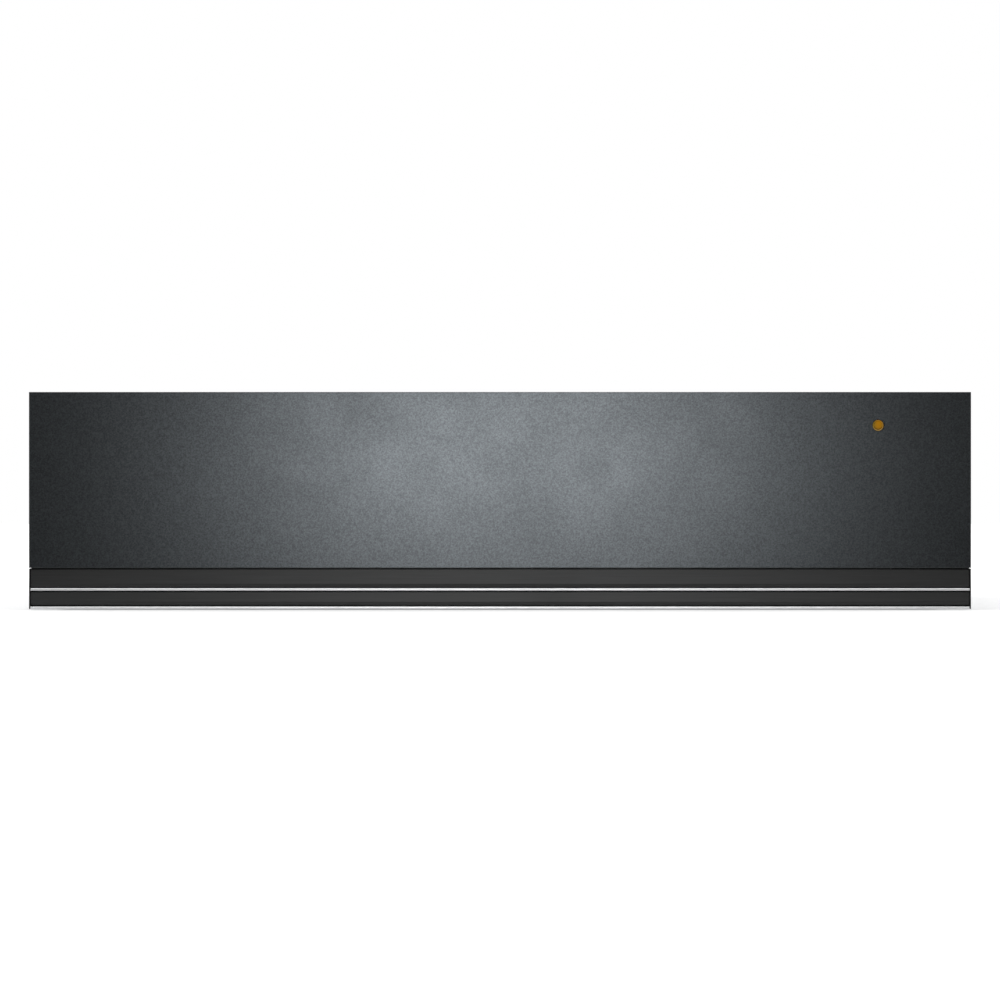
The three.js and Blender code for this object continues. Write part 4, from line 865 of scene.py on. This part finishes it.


# Paints light and shade into the lens's amber, by place across the lens and in rings round its middle
def tintLens(tree):
    shader = next(item for item in tree.nodes if item.bl_idname == "ShaderNodeBsdfPrincipled")
    colour = shader.inputs["Base Color"].links[0].from_socket
    place = node(tree, "ShaderNodeMapping", {
        "Vector": objectPlace(tree), "Location": tuple(-lensCentre / lensRadius),
        "Scale": (1.0 / lensRadius,) * 3,
    })
    axes = node(tree, "ShaderNodeSeparateXYZ", {"Vector": place.outputs[0]})
    for paintedTone, axis, stretch, shares in indicator["paintedLensLightAndShade"]:
        share = spread(tree, axes.outputs[axis], *shares, *stretch, smooth=True)
        colour = mixColour(tree, share, colour, paintedTone)
    flat = node(tree, "ShaderNodeCombineXYZ", {"X": axes.outputs["X"], "Y": axes.outputs["Z"]})
    out = node(tree, "ShaderNodeVectorMath", {0: flat.outputs[0]}, operation="LENGTH").outputs["Value"]
    lower = spread(tree, axes.outputs["Z"], *indicator["bandShare"], *indicator["bandStretch"])
    for paintedTone, inner, outer in indicator["paintedRings"]:
        middle, half = (inner + outer) / 2.0, (outer - inner) / 2.0
        away = mathNode(tree, "ABSOLUTE", mathNode(tree, "SUBTRACT", out, middle))
        fade = [half * part for part in indicator["bandFade"]]
        share = times(tree, spread(tree, away, 1.0, 0.0, *fade), lower)
        colour = mixColour(tree, share, colour, paintedTone)
    tree.links.new(colour, shader.inputs["Base Color"])


tintLens(finishes["amber_lens"].node_tree)
facing = (0.0, -1.0, 0.0)
lensProfile = [(share * lensRadius, height * mm) for share, height in indicator["profile"]]
lensProfile += [(lensRadius, -indicator["depth"]), (0.0, -indicator["depth"])]
makePiece("indicator_dome", movedShape(
    turnedShape(lensProfile, 64), (lensCentre.x, glassLow.y + indicator["stand"], lensCentre.z), facing),
    "drawer", "amber_lens", replaces=["indicator_lens"], sharp=70.0)
ringProfile = [(lensRadius + out * mm, height * mm) for out, height in indicator["ringProfile"]]
makePiece("indicator_ring", movedShape(
    turnedShape(ringProfile, 64), (lensCentre.x, glassLow.y + indicator["ringStand"], lensCentre.z), facing),
    "drawer", "rubber")

softenNodes({"front_carrier": 0.35})

fixingScrew = {"radius": 4.4 * mm, "height": 2.4 * mm, "fromEnd": 2.3 * mm}
screwPlaces = []
for number in range(1, 5):
    low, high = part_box("front_fixing_screw_%d" % number)
    screwPlaces.append(((low.x + high.x) / 2.0, high.y - fixingScrew["fromEnd"], (low.z + high.z) / 2.0))
placeMany("front_screw_heads", panHeadScrew(fixingScrew["radius"], fixingScrew["height"]), screwPlaces,
          (0.0, 1.0, 0.0), "drawer")

# Drawer: pan, tub, heated glass base
print("warming drawer: drawer")

softenNodes({"drawer_pan": 0.3, "control_fascia": 0.25})

tub = {
    "sheet": 0.8 * mm,
    "glassGap": 0.3 * mm,
    "cornerRadius": 18.0 * mm,
    "cornerSteps": 14,
    "rimCorner": 1.2 * mm,
    "rimEdge": 0.5 * mm,
    "rimRoll": 1.6 * mm,
    "floorRadius": 3.0 * mm,
    "ledge": 12.0 * mm,
}
tubLow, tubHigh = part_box("tub")
baseLow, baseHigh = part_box("glass_base")


def wallRing(offset, z):
    # The tub's inner wall, moved outwards by an offset
    reach = tub["glassGap"] + offset
    return roundedRing((baseLow.x - reach, baseHigh.x + reach), (baseLow.y - reach, baseHigh.y + reach), z,
                       tub["cornerRadius"] + offset, tub["cornerSteps"])


def tubShape():
    top, roll = tubHigh.z, tub["rimRoll"]
    floorZ, bend = tubLow.z + tub["sheet"], tub["floorRadius"]
    rim = ((tubLow.x, tubHigh.x), (tubLow.y, tubHigh.y))
    rings = [roundedRing(*rim, z, tub["rimCorner"], tub["cornerSteps"]) for z in (top - tub["rimEdge"], top)]
    rings.append(wallRing(roll, top))
    for angle in (22.5, 45.0, 67.5, 90.0):
        turn = math.radians(angle)
        rings.append(wallRing(roll * (1.0 - math.sin(turn)), top - roll * (1.0 - math.cos(turn))))
    for angle in (0.0, 30.0, 60.0, 90.0):
        turn = math.radians(angle)
        rings.append(wallRing(-bend * (1.0 - math.cos(turn)), floorZ + bend * (1.0 - math.sin(turn))))
    rings.append(wallRing(-tub["ledge"], floorZ))
    return stackRings(rings)


# The sheet gets its thickness before the even shading
pressing = makePiece("tub_pressing", tubShape(), "drawer", "stainless_steel", replaces=["tub"])
wall = pressing.modifiers.new("wall", "SOLIDIFY")
wall.thickness = tub["sheet"]
wall.offset = -1.0
pressing.modifiers.move(1, 0)

glassBase = {"rounding": 0.7 * mm, "sealInset": 0.35 * mm, "sealWidth": 1.1 * mm, "sealHeight": 0.605 * mm}
shape = stackRings([wallRing(-tub["glassGap"], z) for z in (baseHigh.z, baseLow.z)], capped=True)
roundEdges(shape, sharpEdges(shape, 60.0), glassBase["rounding"], 3)
makePiece("heated_base", shape, "drawer", "heated_glass", replaces=["glass_base"])

# A bead of sealant in the corner between the glass base and the wall
sealRings = []
for angle in range(0, 360, 30):
    turn = math.radians(angle)
    inset = glassBase["sealInset"] + glassBase["sealWidth"] * (1.0 - math.cos(turn)) / 2.0
    sealRings.append(wallRing(-inset, baseHigh.z + glassBase["sealHeight"] * math.sin(turn)))
sealShape = closeSeams(stackRings(sealRings + sealRings[:1]), 1e-6)
makePiece("base_seal", sealShape, "drawer", "rubber", finish="sealant")

# Under the tub: insulation, heating mat, cut-out and sensor; behind the glass: tape and light pipe
print("warming drawer: insulation and heater")

insulation = {"voxel": 4.6 * mm, "sink": 0.9 * mm, "waves": 38.0, "smoothing": 3}


def insulationShape():
    # Mineral wool: the plain mat again with soft corners and an uneven, slightly sunken surface
    source = helperOf(nodeShape("insulation_mat"))
    wool = source.modifiers.new("wool", "REMESH")
    wool.mode = "VOXEL"
    wool.voxel_size = insulation["voxel"]
    shape = evaluatedShape(source)
    for step in range(insulation["smoothing"]):
        bmesh.ops.smooth_vert(shape, verts=shape.verts, factor=0.5, use_axis_x=True, use_axis_y=True,
                              use_axis_z=True)
    low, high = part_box("insulation_mat")
    middle, reach = (low.z + high.z) / 2.0, (high.z - low.z) / 2.0
    for vert in shape.verts:
        wave = 0.5 + 0.5 * noiseTool.noise(vert.co * insulation["waves"])
        share = (vert.co.z - middle) / reach
        vert.co.z -= share * insulation["sink"] * min(max(wave, 0.0), 1.0)
        vert.co.z = min(max(vert.co.z, low.z), high.z)
    return shape


makePiece("insulation_wool", insulationShape(), "drawer", "mineral_wool", replaces=["insulation_mat"],
          sharp=80.0)

heater = {
    "corner": 12.0 * mm,
    "edge": 0.5 * mm,
    "edgeCorner": 0.15 * mm,
    "wire": 0.9 * mm,
    "stand": 0.2 * mm,
    "runs": 13,
    "border": 16.0 * mm,
    "turnSteps": 12,
}
matLow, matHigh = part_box("heater_mat")
edge, corner = heater["edge"], heater["edgeCorner"]
matProfile = ((edge, matLow.z), (corner, matLow.z + corner), (0.0, matLow.z + edge),
              (0.0, matHigh.z - edge), (corner, matHigh.z - corner), (edge, matHigh.z))
makePiece("heating_mat", stackRings([
    roundedRing((matLow.x + inset, matHigh.x - inset), (matLow.y + inset, matHigh.y - inset), z,
                heater["corner"] - inset, 8) for inset, z in matProfile], capped=True),
    "drawer", "silicone_mat", replaces=["heater_mat"])


def wireRoute():
    # The heating wire lies in the mat in parallel runs and shows as a low ridge
    z = matHigh.z + heater["stand"] - heater["wire"]
    pitch = (matHigh.y - matLow.y - 2.0 * heater["border"]) / (heater["runs"] - 1)
    ends = (matLow.x + heater["border"] + pitch / 2.0, matHigh.x - heater["border"] - pitch / 2.0)
    points = []
    for run in range(heater["runs"]):
        y = matLow.y + heater["border"] + run * pitch
        side = 1.0 if run % 2 == 0 else -1.0
        start, stop = ends if side > 0 else ends[::-1]
        points += [Vector((start, y, z)), Vector((stop, y, z))]
        if run < heater["runs"] - 1:
            for step in range(1, heater["turnSteps"]):
                angle = math.pi * step / heater["turnSteps"] - math.pi / 2.0
                points.append(Vector((stop + side * pitch / 2.0 * math.cos(angle),
                                      y + pitch / 2.0 * (1.0 + math.sin(angle)), z)))
    return points


tubePiece("heating_wire", wireRoute(), heater["wire"], "drawer", "silicone_mat", resolution=2)

# Profiles of (radius, height) in mm; two crimped grooves hold the sensor's lead
cutout = {
    "profile": ((0.0, 0.0), (5.6, 0.0), (6.0, 0.3), (6.0, 3.6), (7.6, 3.9), (7.9, 4.3), (7.9, 5.4),
                (7.5, 5.8), (6.2, 6.0), (5.9, 6.8), (5.5, 7.0), (0.0, 7.0)),
}
sensor = {
    "tip": ((0.0, 0.0), (1.3, 0.1), (2.1, 0.6), (2.45, 1.5)),
    "groove": ((2.45, 0.0), (2.2, 0.4), (2.2, 1.2), (2.45, 1.6)),
    "grooveStarts": (14.0, 17.0),
    "end": ((2.45, 21.6), (2.1, 22.0), (0.0, 22.0)),
}
cutLow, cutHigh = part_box("thermal_cutout")
cutPlace = ((cutLow.x + cutHigh.x) / 2.0, (cutLow.y + cutHigh.y) / 2.0, cutLow.z)
makePiece("cutout_can", movedShape(turnedShape(inMm(cutout["profile"])), cutPlace), "drawer",
          "zinc_plated_steel", replaces=["thermal_cutout"])
sensorLow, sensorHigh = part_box("temperature_sensor")
sensorPlace = (sensorLow.x, (sensorLow.y + sensorHigh.y) / 2.0, (sensorLow.z + sensorHigh.z) / 2.0)
grooves = [(radius, start + along) for start in sensor["grooveStarts"] for radius, along in sensor["groove"]]
sensorShape = turnedShape(inMm([*sensor["tip"], *grooves, *sensor["end"]]), 28)
makePiece("sensor_sleeve", movedShape(sensorShape, sensorPlace, (1.0, 0.0, 0.0)), "drawer",
          "zinc_plated_steel", replaces=["temperature_sensor"])
softenNodes({"bonding_tape": 0.15})
softenNodes({"indicator_light_pipe": 0.3}, 3)

# Controls: switch, knob, printed scale and circuit board
print("warming drawer: controls")

knobLow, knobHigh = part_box("selector_knob")
knobCentre = (knobLow + knobHigh) / 2.0
# All in mm
knob = {
    "radius": 8.9,
    "topRadius": 7.9,
    "flutes": 24,
    "fluteDepth": 0.35,
    # (mm up from the foot, mm in from the radius, share of the flutes' depth)
    "skirt": ((0.0, 0.0, 0.0), (0.98, 0.0, 0.0), (1.4, 0.35, 0.0), (1.7, 0.6, 1.0)),
    # (mm down from the top, mm in from the top's radius, share of the flutes' depth)
    "crown": ((0.9, 0.0, 1.0), (0.35, 0.15, 0.6), (0.0, 0.7, 0.0), (0.0, 1.5, 0.0), (0.25, 1.9, 0.0)),
    "pointerFrom": 1.8,
    "pointerTo": 5.7,
    "pointerHalf": 0.6,
    "pointerLow": 0.45,
    "pointerHigh": 0.13,
    "pointerRounding": 0.1,
}


def knobShape():
    height = (knobHigh.z - knobLow.z) / mm
    levels = [(up, knob["radius"] - inset, fluting) for up, inset, fluting in knob["skirt"]]
    levels += [(height - down, knob["topRadius"] - inset, fluting) for down, inset, fluting in knob["crown"]]
    steps = knob["flutes"] * 4
    rings = []
    for z, radius, fluting in levels:
        ring = []
        for step in range(steps):
            angle = math.tau * step / steps
            wave = 0.5 - 0.5 * math.cos(angle * knob["flutes"])
            reach = radius - fluting * knob["fluteDepth"] * wave
            ring.append(Vector((reach * math.cos(angle), reach * math.sin(angle), z)) * mm)
        rings.append(ring)
    return stackRings(rings, capped=True)


makePiece("knob_cap", movedShape(knobShape(), (knobCentre.x, knobCentre.y, knobLow.z)), "knob",
          "black_plastic", replaces=["selector_knob"], sharp=30.0)
pointerFoot = Vector((knobCentre.x, knobCentre.y, knobHigh.z))
makePiece("knob_pointer", blockShape(
    pointerFoot + Vector((-knob["pointerHalf"], knob["pointerFrom"], -knob["pointerLow"])) * mm,
    pointerFoot + Vector((knob["pointerHalf"], knob["pointerTo"], -knob["pointerHigh"])) * mm,
    knob["pointerRounding"] * mm), "knob", "black_plastic", finish="whitePrint")

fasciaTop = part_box("control_fascia")[1].z
scale = {"textSize": 3.1 * mm, "radius": 11.0 * mm, "degreesApart": 50.0, "count": 5, "ink": 0.04 * mm}


def printedDigit(index):
    text = bpy.data.curves.new("digit", "FONT")
    text.body = str(index)
    text.size = scale["textSize"]
    text.align_x = "CENTER"
    text.align_y = "CENTER"
    text.extrude = scale["ink"] / 2.0
    shape = closeSeams(evaluatedShape(helper(text)))
    turn = math.radians(scale["degreesApart"] * index)
    place = (knobCentre.x + scale["radius"] * math.sin(turn),
             knobCentre.y + scale["radius"] * math.cos(turn), fasciaTop + scale["ink"] / 2.0)
    bmesh.ops.translate(shape, vec=place, verts=shape.verts)
    makePiece("scale_%d" % index, shape, "drawer", nodeSlot["selector_knob"], finish="darkPrint",
              even=False)


for index in range(scale["count"]):
    printedDigit(index)

softenNodes({"selector_switch": 0.3})
softenNodes({"circuit_board": 0.15}, 1)

# Each part's middle from the board's lower left corner, its width, height and depth, all in mm
board = {
    "rounding": 0.4,
    "parts": {
        "relay": ((14.0, 10.0), (13.0, 15.0, 12.0), "black_plastic"),
        "supply_chip": ((32.0, 8.0), (9.0, 6.0, 2.2), "black_plastic"),
        "logic_chip": ((44.0, 18.0), (7.0, 7.0, 1.6), "black_plastic"),
        "film_capacitor": ((31.0, 20.0), (11.0, 5.0, 8.0), "grey_plastic"),
    },
}
boardLow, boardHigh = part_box("circuit_board")
for partName, ((across, up), (width, tall, deep), finishName) in board["parts"].items():
    middle = Vector((boardLow.x, boardHigh.y, boardLow.z)) + Vector((across, 0.0, up)) * mm
    makePiece("board_" + partName, blockShape(
        middle - Vector((width / 2.0, 0.0, tall / 2.0)) * mm,
        middle + Vector((width / 2.0, deep, tall / 2.0)) * mm, board["rounding"] * mm),
        "drawer", "black_plastic", finish=finishName)

# Rails with their balls
print("warming drawer: rails")

rail = {"ball": 2.15 * mm, "balls": 5, "border": 9.0 * mm, "cageSheet": 0.6 * mm, "rounding": 0.15 * mm}


def cagePieces(row, side):
    # A web beside the balls with an arm along each of the two rows
    nodeName = "ball_cage_%s_%s" % (row, side)
    low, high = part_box(nodeName)
    ball, sheet = rail["ball"], rail["cageSheet"]
    webX, ballX = (low.x, low.x + sheet), high.x - ball
    if side == "right":
        webX, ballX = (high.x - sheet, high.x), low.x + ball
    rowZ = (low.z + ball, high.z - ball)
    cage = blockShape((webX[0], low.y, rowZ[0]), (webX[1], high.y, rowZ[1]), rail["rounding"])
    balls = bmesh.new()
    pitch = (high.y - low.y - 2.0 * rail["border"]) / (rail["balls"] - 1)
    for z in rowZ:
        addTo(cage, blockShape((low.x, low.y, z - sheet / 2.0), (high.x, high.y, z + sheet / 2.0),
                               rail["rounding"]))
        for index in range(rail["balls"]):
            bmesh.ops.create_uvsphere(
                balls, u_segments=20, v_segments=12, radius=ball,
                matrix=Matrix.Translation((ballX, low.y + rail["border"] + index * pitch, z)))
    makePiece("cage_%s_%s" % (row, side), cage, nodeBody[nodeName], "stainless_steel",
              replaces=[nodeName])
    makePiece("balls_%s_%s" % (row, side), balls, nodeBody[nodeName], "stainless_steel", even=False)


for side in ("left", "right"):
    softenNodes({"rail_%s_%s" % (member, side): 0.3 for member in ("outer", "middle", "inner")})
    for row in ("outer", "inner"):
        cagePieces(row, side)

# Housing
print("warming drawer: housing")

softenNodes({nodeName: 0.3 for nodeName in (
    "base_plate", "side_panel_left", "side_panel_right", "rear_panel", "top_cover",
    "front_crossmember", "cabinet_bracket_left", "cabinet_bracket_right")})

# A screw or rivet is the radius and height of its head
housingParts = {
    "coverScrew": (3.8 * mm, 2.0 * mm),
    "coverScrewX": 0.2695,
    "coverScrewY": (-0.225, -0.09, 0.05, 0.19),
    "rearScrewX": (-0.25, -0.06, 0.0, 0.06, 0.25),
    "rearScrewInset": 4.5 * mm,
    "rivet": (3.0 * mm, 0.9 * mm),
    "rivetY": (-0.19, -0.05, 0.1, 0.2),
    "rivetZ": 0.06,
    "bracketScrew": (3.4 * mm, 1.8 * mm),
    "bracketScrewX": 0.2795,
    "bracketScrewY": -0.234,
    "bracketScrewZ": (0.052, 0.088),
    "beadRadius": 5.0 * mm,
    "beadHeight": 1.0 * mm,
    "beadY": (-0.17, 0.18),
    "beadZ": (0.026, 0.103),
    "coverBeadX": (-0.19, -0.095, 0.0, 0.095, 0.19),
    "coverBeadY": (-0.19, 0.15),
}
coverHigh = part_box("top_cover")[1]
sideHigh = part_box("side_panel_right")[1]


def beadPiece(name, span, places, normal):
    # Low ridges with round ends, pressed out of a sheet along Y
    radius, length = housingParts["beadRadius"], span[1] - span[0]
    flat = housingParts["beadHeight"] / radius
    beads = bmesh.new()
    for x, z in places:
        bead = turnedShape(arc(radius, radius, -90, 0, 15) + arc(radius, radius, 0, 90, 15, length), 24)
        bmesh.ops.transform(bead, matrix=turnTo((0, 1, 0)), verts=bead.verts)
        bmesh.ops.scale(bead, vec=[flat if value else 1.0 for value in normal], verts=bead.verts)
        addTo(beads, bead, Matrix.Translation((x, span[0], z)))
    makePiece(name, beads, "housing", "galvanised_steel", even=False)


coverScrews = [(sign * housingParts["coverScrewX"], y, coverHigh.z)
               for sign in (-1.0, 1.0) for y in housingParts["coverScrewY"]]
coverScrews += [(x, coverHigh.y - housingParts["rearScrewInset"], coverHigh.z)
                for x in housingParts["rearScrewX"]]
placeMany("cover_screws", panHeadScrew(*housingParts["coverScrew"]), coverScrews, (0, 0, 1), "housing")
for sign, side in ((-1.0, "left"), (1.0, "right")):
    rivets = [(sign * sideHigh.x, y, housingParts["rivetZ"]) for y in housingParts["rivetY"]]
    placeMany("rail_rivets_" + side, rivetHead(*housingParts["rivet"]), rivets, (sign, 0, 0), "housing")
    bracketScrews = [(sign * housingParts["bracketScrewX"], housingParts["bracketScrewY"], z)
                     for z in housingParts["bracketScrewZ"]]
    placeMany("bracket_screws_" + side, panHeadScrew(*housingParts["bracketScrew"]), bracketScrews,
              (sign, 0, 0), "housing")
    beadPiece("side_beads_" + side, housingParts["beadY"],
              [(sign * sideHigh.x, z) for z in housingParts["beadZ"]], (1, 0, 0))
beadPiece("cover_beads", housingParts["coverBeadY"],
          [(x, coverHigh.z) for x in housingParts["coverBeadX"]], (0, 0, 1))

# (radius, height) in mm: a disc with a hollow tread, a neck and a barbed pin
foot = {
    "profile": ((0.0, 0.35), (6.0, 0.35), (7.2, 0.0), (9.2, 0.0), (9.85, 0.3), (10.0, 1.0), (9.8, 2.6),
                (9.4, 3.0), (3.0, 3.0), (3.0, 4.7), (5.0, 4.8), (4.9, 5.3), (3.4, 6.0), (0.0, 6.1)),
}
for row in ("front", "rear"):
    for side in ("left", "right"):
        nodeName = "foot_%s_%s" % (row, side)
        low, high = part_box(nodeName)
        place = ((low.x + high.x) / 2.0, (low.y + high.y) / 2.0, 0.0)
        makePiece(nodeName + "_form", movedShape(turnedShape(inMm(foot["profile"])), place), "housing",
                  "rubber", replaces=[nodeName])

# Push latch
print("warming drawer: latch")

softenNodes({"latch_body": 0.5}, 3)
softenNodes({"strike_plate": 0.3})
softenNodes({"latch_plunger": 0.4}, 3)
softenNodes({"latch_magnet": 0.2})

spring = {"wire": 0.4 * mm, "radius": 2.6 * mm, "turns": 7, "steps": 20}
springLow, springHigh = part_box("latch_spring")
plungerLow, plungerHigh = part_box("latch_plunger")
springZ = (plungerLow.z + plungerHigh.z) / 2.0
springFrom = springLow.y + spring["wire"]
springTo = springHigh.y - spring["wire"]
springPoints = []
springSteps = spring["turns"] * spring["steps"]
for step in range(springSteps + 1):
    angle = math.tau * step / spring["steps"]
    springPoints.append(Vector((
        spring["radius"] * math.cos(angle), springFrom + (springTo - springFrom) * step / springSteps,
        springZ + spring["radius"] * math.sin(angle))))
springPiece = tubePiece("spring_coil", springPoints, spring["wire"], None, "zinc_plated_steel",
                        replaces=["latch_spring"], resolution=2)
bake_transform(springPiece)

# Leads and inlet
print("warming drawer: leads")

lead = {
    "radius": 2.75 * mm,
    "coilRadius": 5.9 * mm,
    "turns": 36,
    "steps": 22,
    "foot": 20.9 * mm,
    "clamp": 20.6 * mm,
    "height": 90.0 * mm,
    "y": 248.0 * mm,
    "tailX": 243.0 * mm,
    "bend": 24.0 * mm,
    "coilStart": 201.0 * mm,
    "coilEnd": -204.35 * mm,
    "straight": 9.0 * mm,
    "plug": 27.7 * mm,
}


def leadRoute():
    # Up from the clamp, round a bend, along the coil and straight into the drawer's connector
    y, height, bend, clamp = lead["y"], lead["height"], lead["bend"], lead["clamp"]
    points = [Vector((lead["tailX"], y, lead["foot"]))]
    for step in range(1, 5):
        points.append(Vector((lead["tailX"], y, clamp + (height - bend - clamp) * step / 5.0)))
    for step in range(13):
        angle = math.radians(90.0 * step / 12)
        points.append(Vector((lead["tailX"] - bend * (1.0 - math.cos(angle)), y,
                              height - bend * (1.0 - math.sin(angle)))))
    coilSteps = lead["turns"] * lead["steps"]
    for step in range(coilSteps + 1):
        turn = step / lead["steps"]
        reach = lead["coilRadius"] * min(turn, lead["turns"] - turn, 1.0)
        x = lead["coilStart"] + (lead["coilEnd"] - lead["coilStart"]) * step / coilSteps
        points.append(Vector((x, y + reach * math.sin(math.tau * turn),
                              height + reach * math.cos(math.tau * turn))))
    for beyond in (lead["straight"], lead["plug"]):
        points.append(Vector((lead["coilEnd"] - beyond, y, height)))
    return points


leadPiece = tubePiece("curly_lead", leadRoute(), lead["radius"], None, "lead_sheath",
                      replaces=["supply_lead"], resolution=3)
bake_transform(leadPiece)

softenNodes({"lead_clamp_housing": 0.5, "lead_connector_drawer": 0.5})
softenNodes({"terminal_block": 0.4, "mains_inlet": 0.4})

# The first three are in mm
inlet = {
    "pins": ((-7.0, -2.5), (0.0, 3.5), (7.0, -2.5)),
    "pinHalf": (1.06, 2.06),
    "pinInset": (14.5, 5.7),
    "pinRounding": 0.35 * mm,
    "screw": (2.1 * mm, 1.2 * mm),
    "screwX": 17.0 * mm,
    "screwSink": 0.2 * mm,
}
inletLow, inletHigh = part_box("mains_inlet")
inletFace = Vector(((inletLow.x + inletHigh.x) / 2.0, inletHigh.y, (inletLow.z + inletHigh.z) / 2.0))
pinShape = bmesh.new()
for across, up in inlet["pins"]:
    halfX, halfZ = inlet["pinHalf"]
    addTo(pinShape, blockShape(
        inletFace + Vector((across - halfX, -inlet["pinInset"][0], up - halfZ)) * mm,
        inletFace + Vector((across + halfX, -inlet["pinInset"][1], up + halfZ)) * mm, inlet["pinRounding"]))
makePiece("inlet_pins", pinShape, "housing", "black_plastic", finish="brass")
placeMany("inlet_screws", panHeadScrew(*inlet["screw"]),
          [inletFace + Vector((sign * inlet["screwX"], -inlet["screwSink"], 0.0)) for sign in (-1, 1)],
          (0, 1, 0), "housing")

terminal = {"screw": (2.6 * mm, 1.6 * mm), "pitch": 13.33 * mm, "inset": 11.0 * mm, "sink": 4.2 * mm}
terminalLow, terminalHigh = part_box("terminal_block")
terminalScrews = [((terminalLow.x + terminalHigh.x) / 2.0 + place * terminal["pitch"],
                   terminalLow.y + terminal["inset"], terminalHigh.z - terminal["sink"])
                  for place in (-1, 0, 1)]
placeMany("terminal_screws", panHeadScrew(*terminal["screw"]), terminalScrews, (0, 0, 1), "housing")

# The points that the two short cables pass, and their radii, in mm
cables = {
    "inletRadius": 2.75,
    "inletRoute": ((164.3, 259.3, 35.0), (169.42, 259.3, 35.0), (177.1, 253.63, 23.8), (184.78, 248.0, 12.6),
                   (189.7, 248.0, 12.6)),
    "drawerRadius": 3.0,
    "drawerRoute": ((-250.85, 222.0, 90.0), (-250.85, 197.0, 90.0), (-250.85, 122.0, 56.0),
                    (-250.85, -24.0, 56.0), (-250.85, -188.15, 56.0), (-244.6, -225.65, 56.0),
                    (-225.85, -238.15, 56.0), (-175.85, -238.15, 56.0), (0.0, -238.15, 56.0),
                    (146.0, -238.15, 56.0), (187.67, -240.15, 62.25), (196.0, -249.2, 75.7),
                    (196.0, -249.2, 81.7)),
}
inletRoute = [Vector(point) * mm for point in cables["inletRoute"]]
tubePiece("inlet_lead", smoothRoute(inletRoute, 8), cables["inletRadius"] * mm, "housing", "lead_sheath",
          replaces=["inlet_cable"], resolution=3)
drawerRoute = [Vector(point) * mm for point in cables["drawerRoute"]]
tubePiece("drawer_cable", smoothRoute(drawerRoute, 10), cables["drawerRadius"] * mm, "drawer", "lead_sheath",
          replaces=["drawer_wiring"])

print("warming drawer: done")
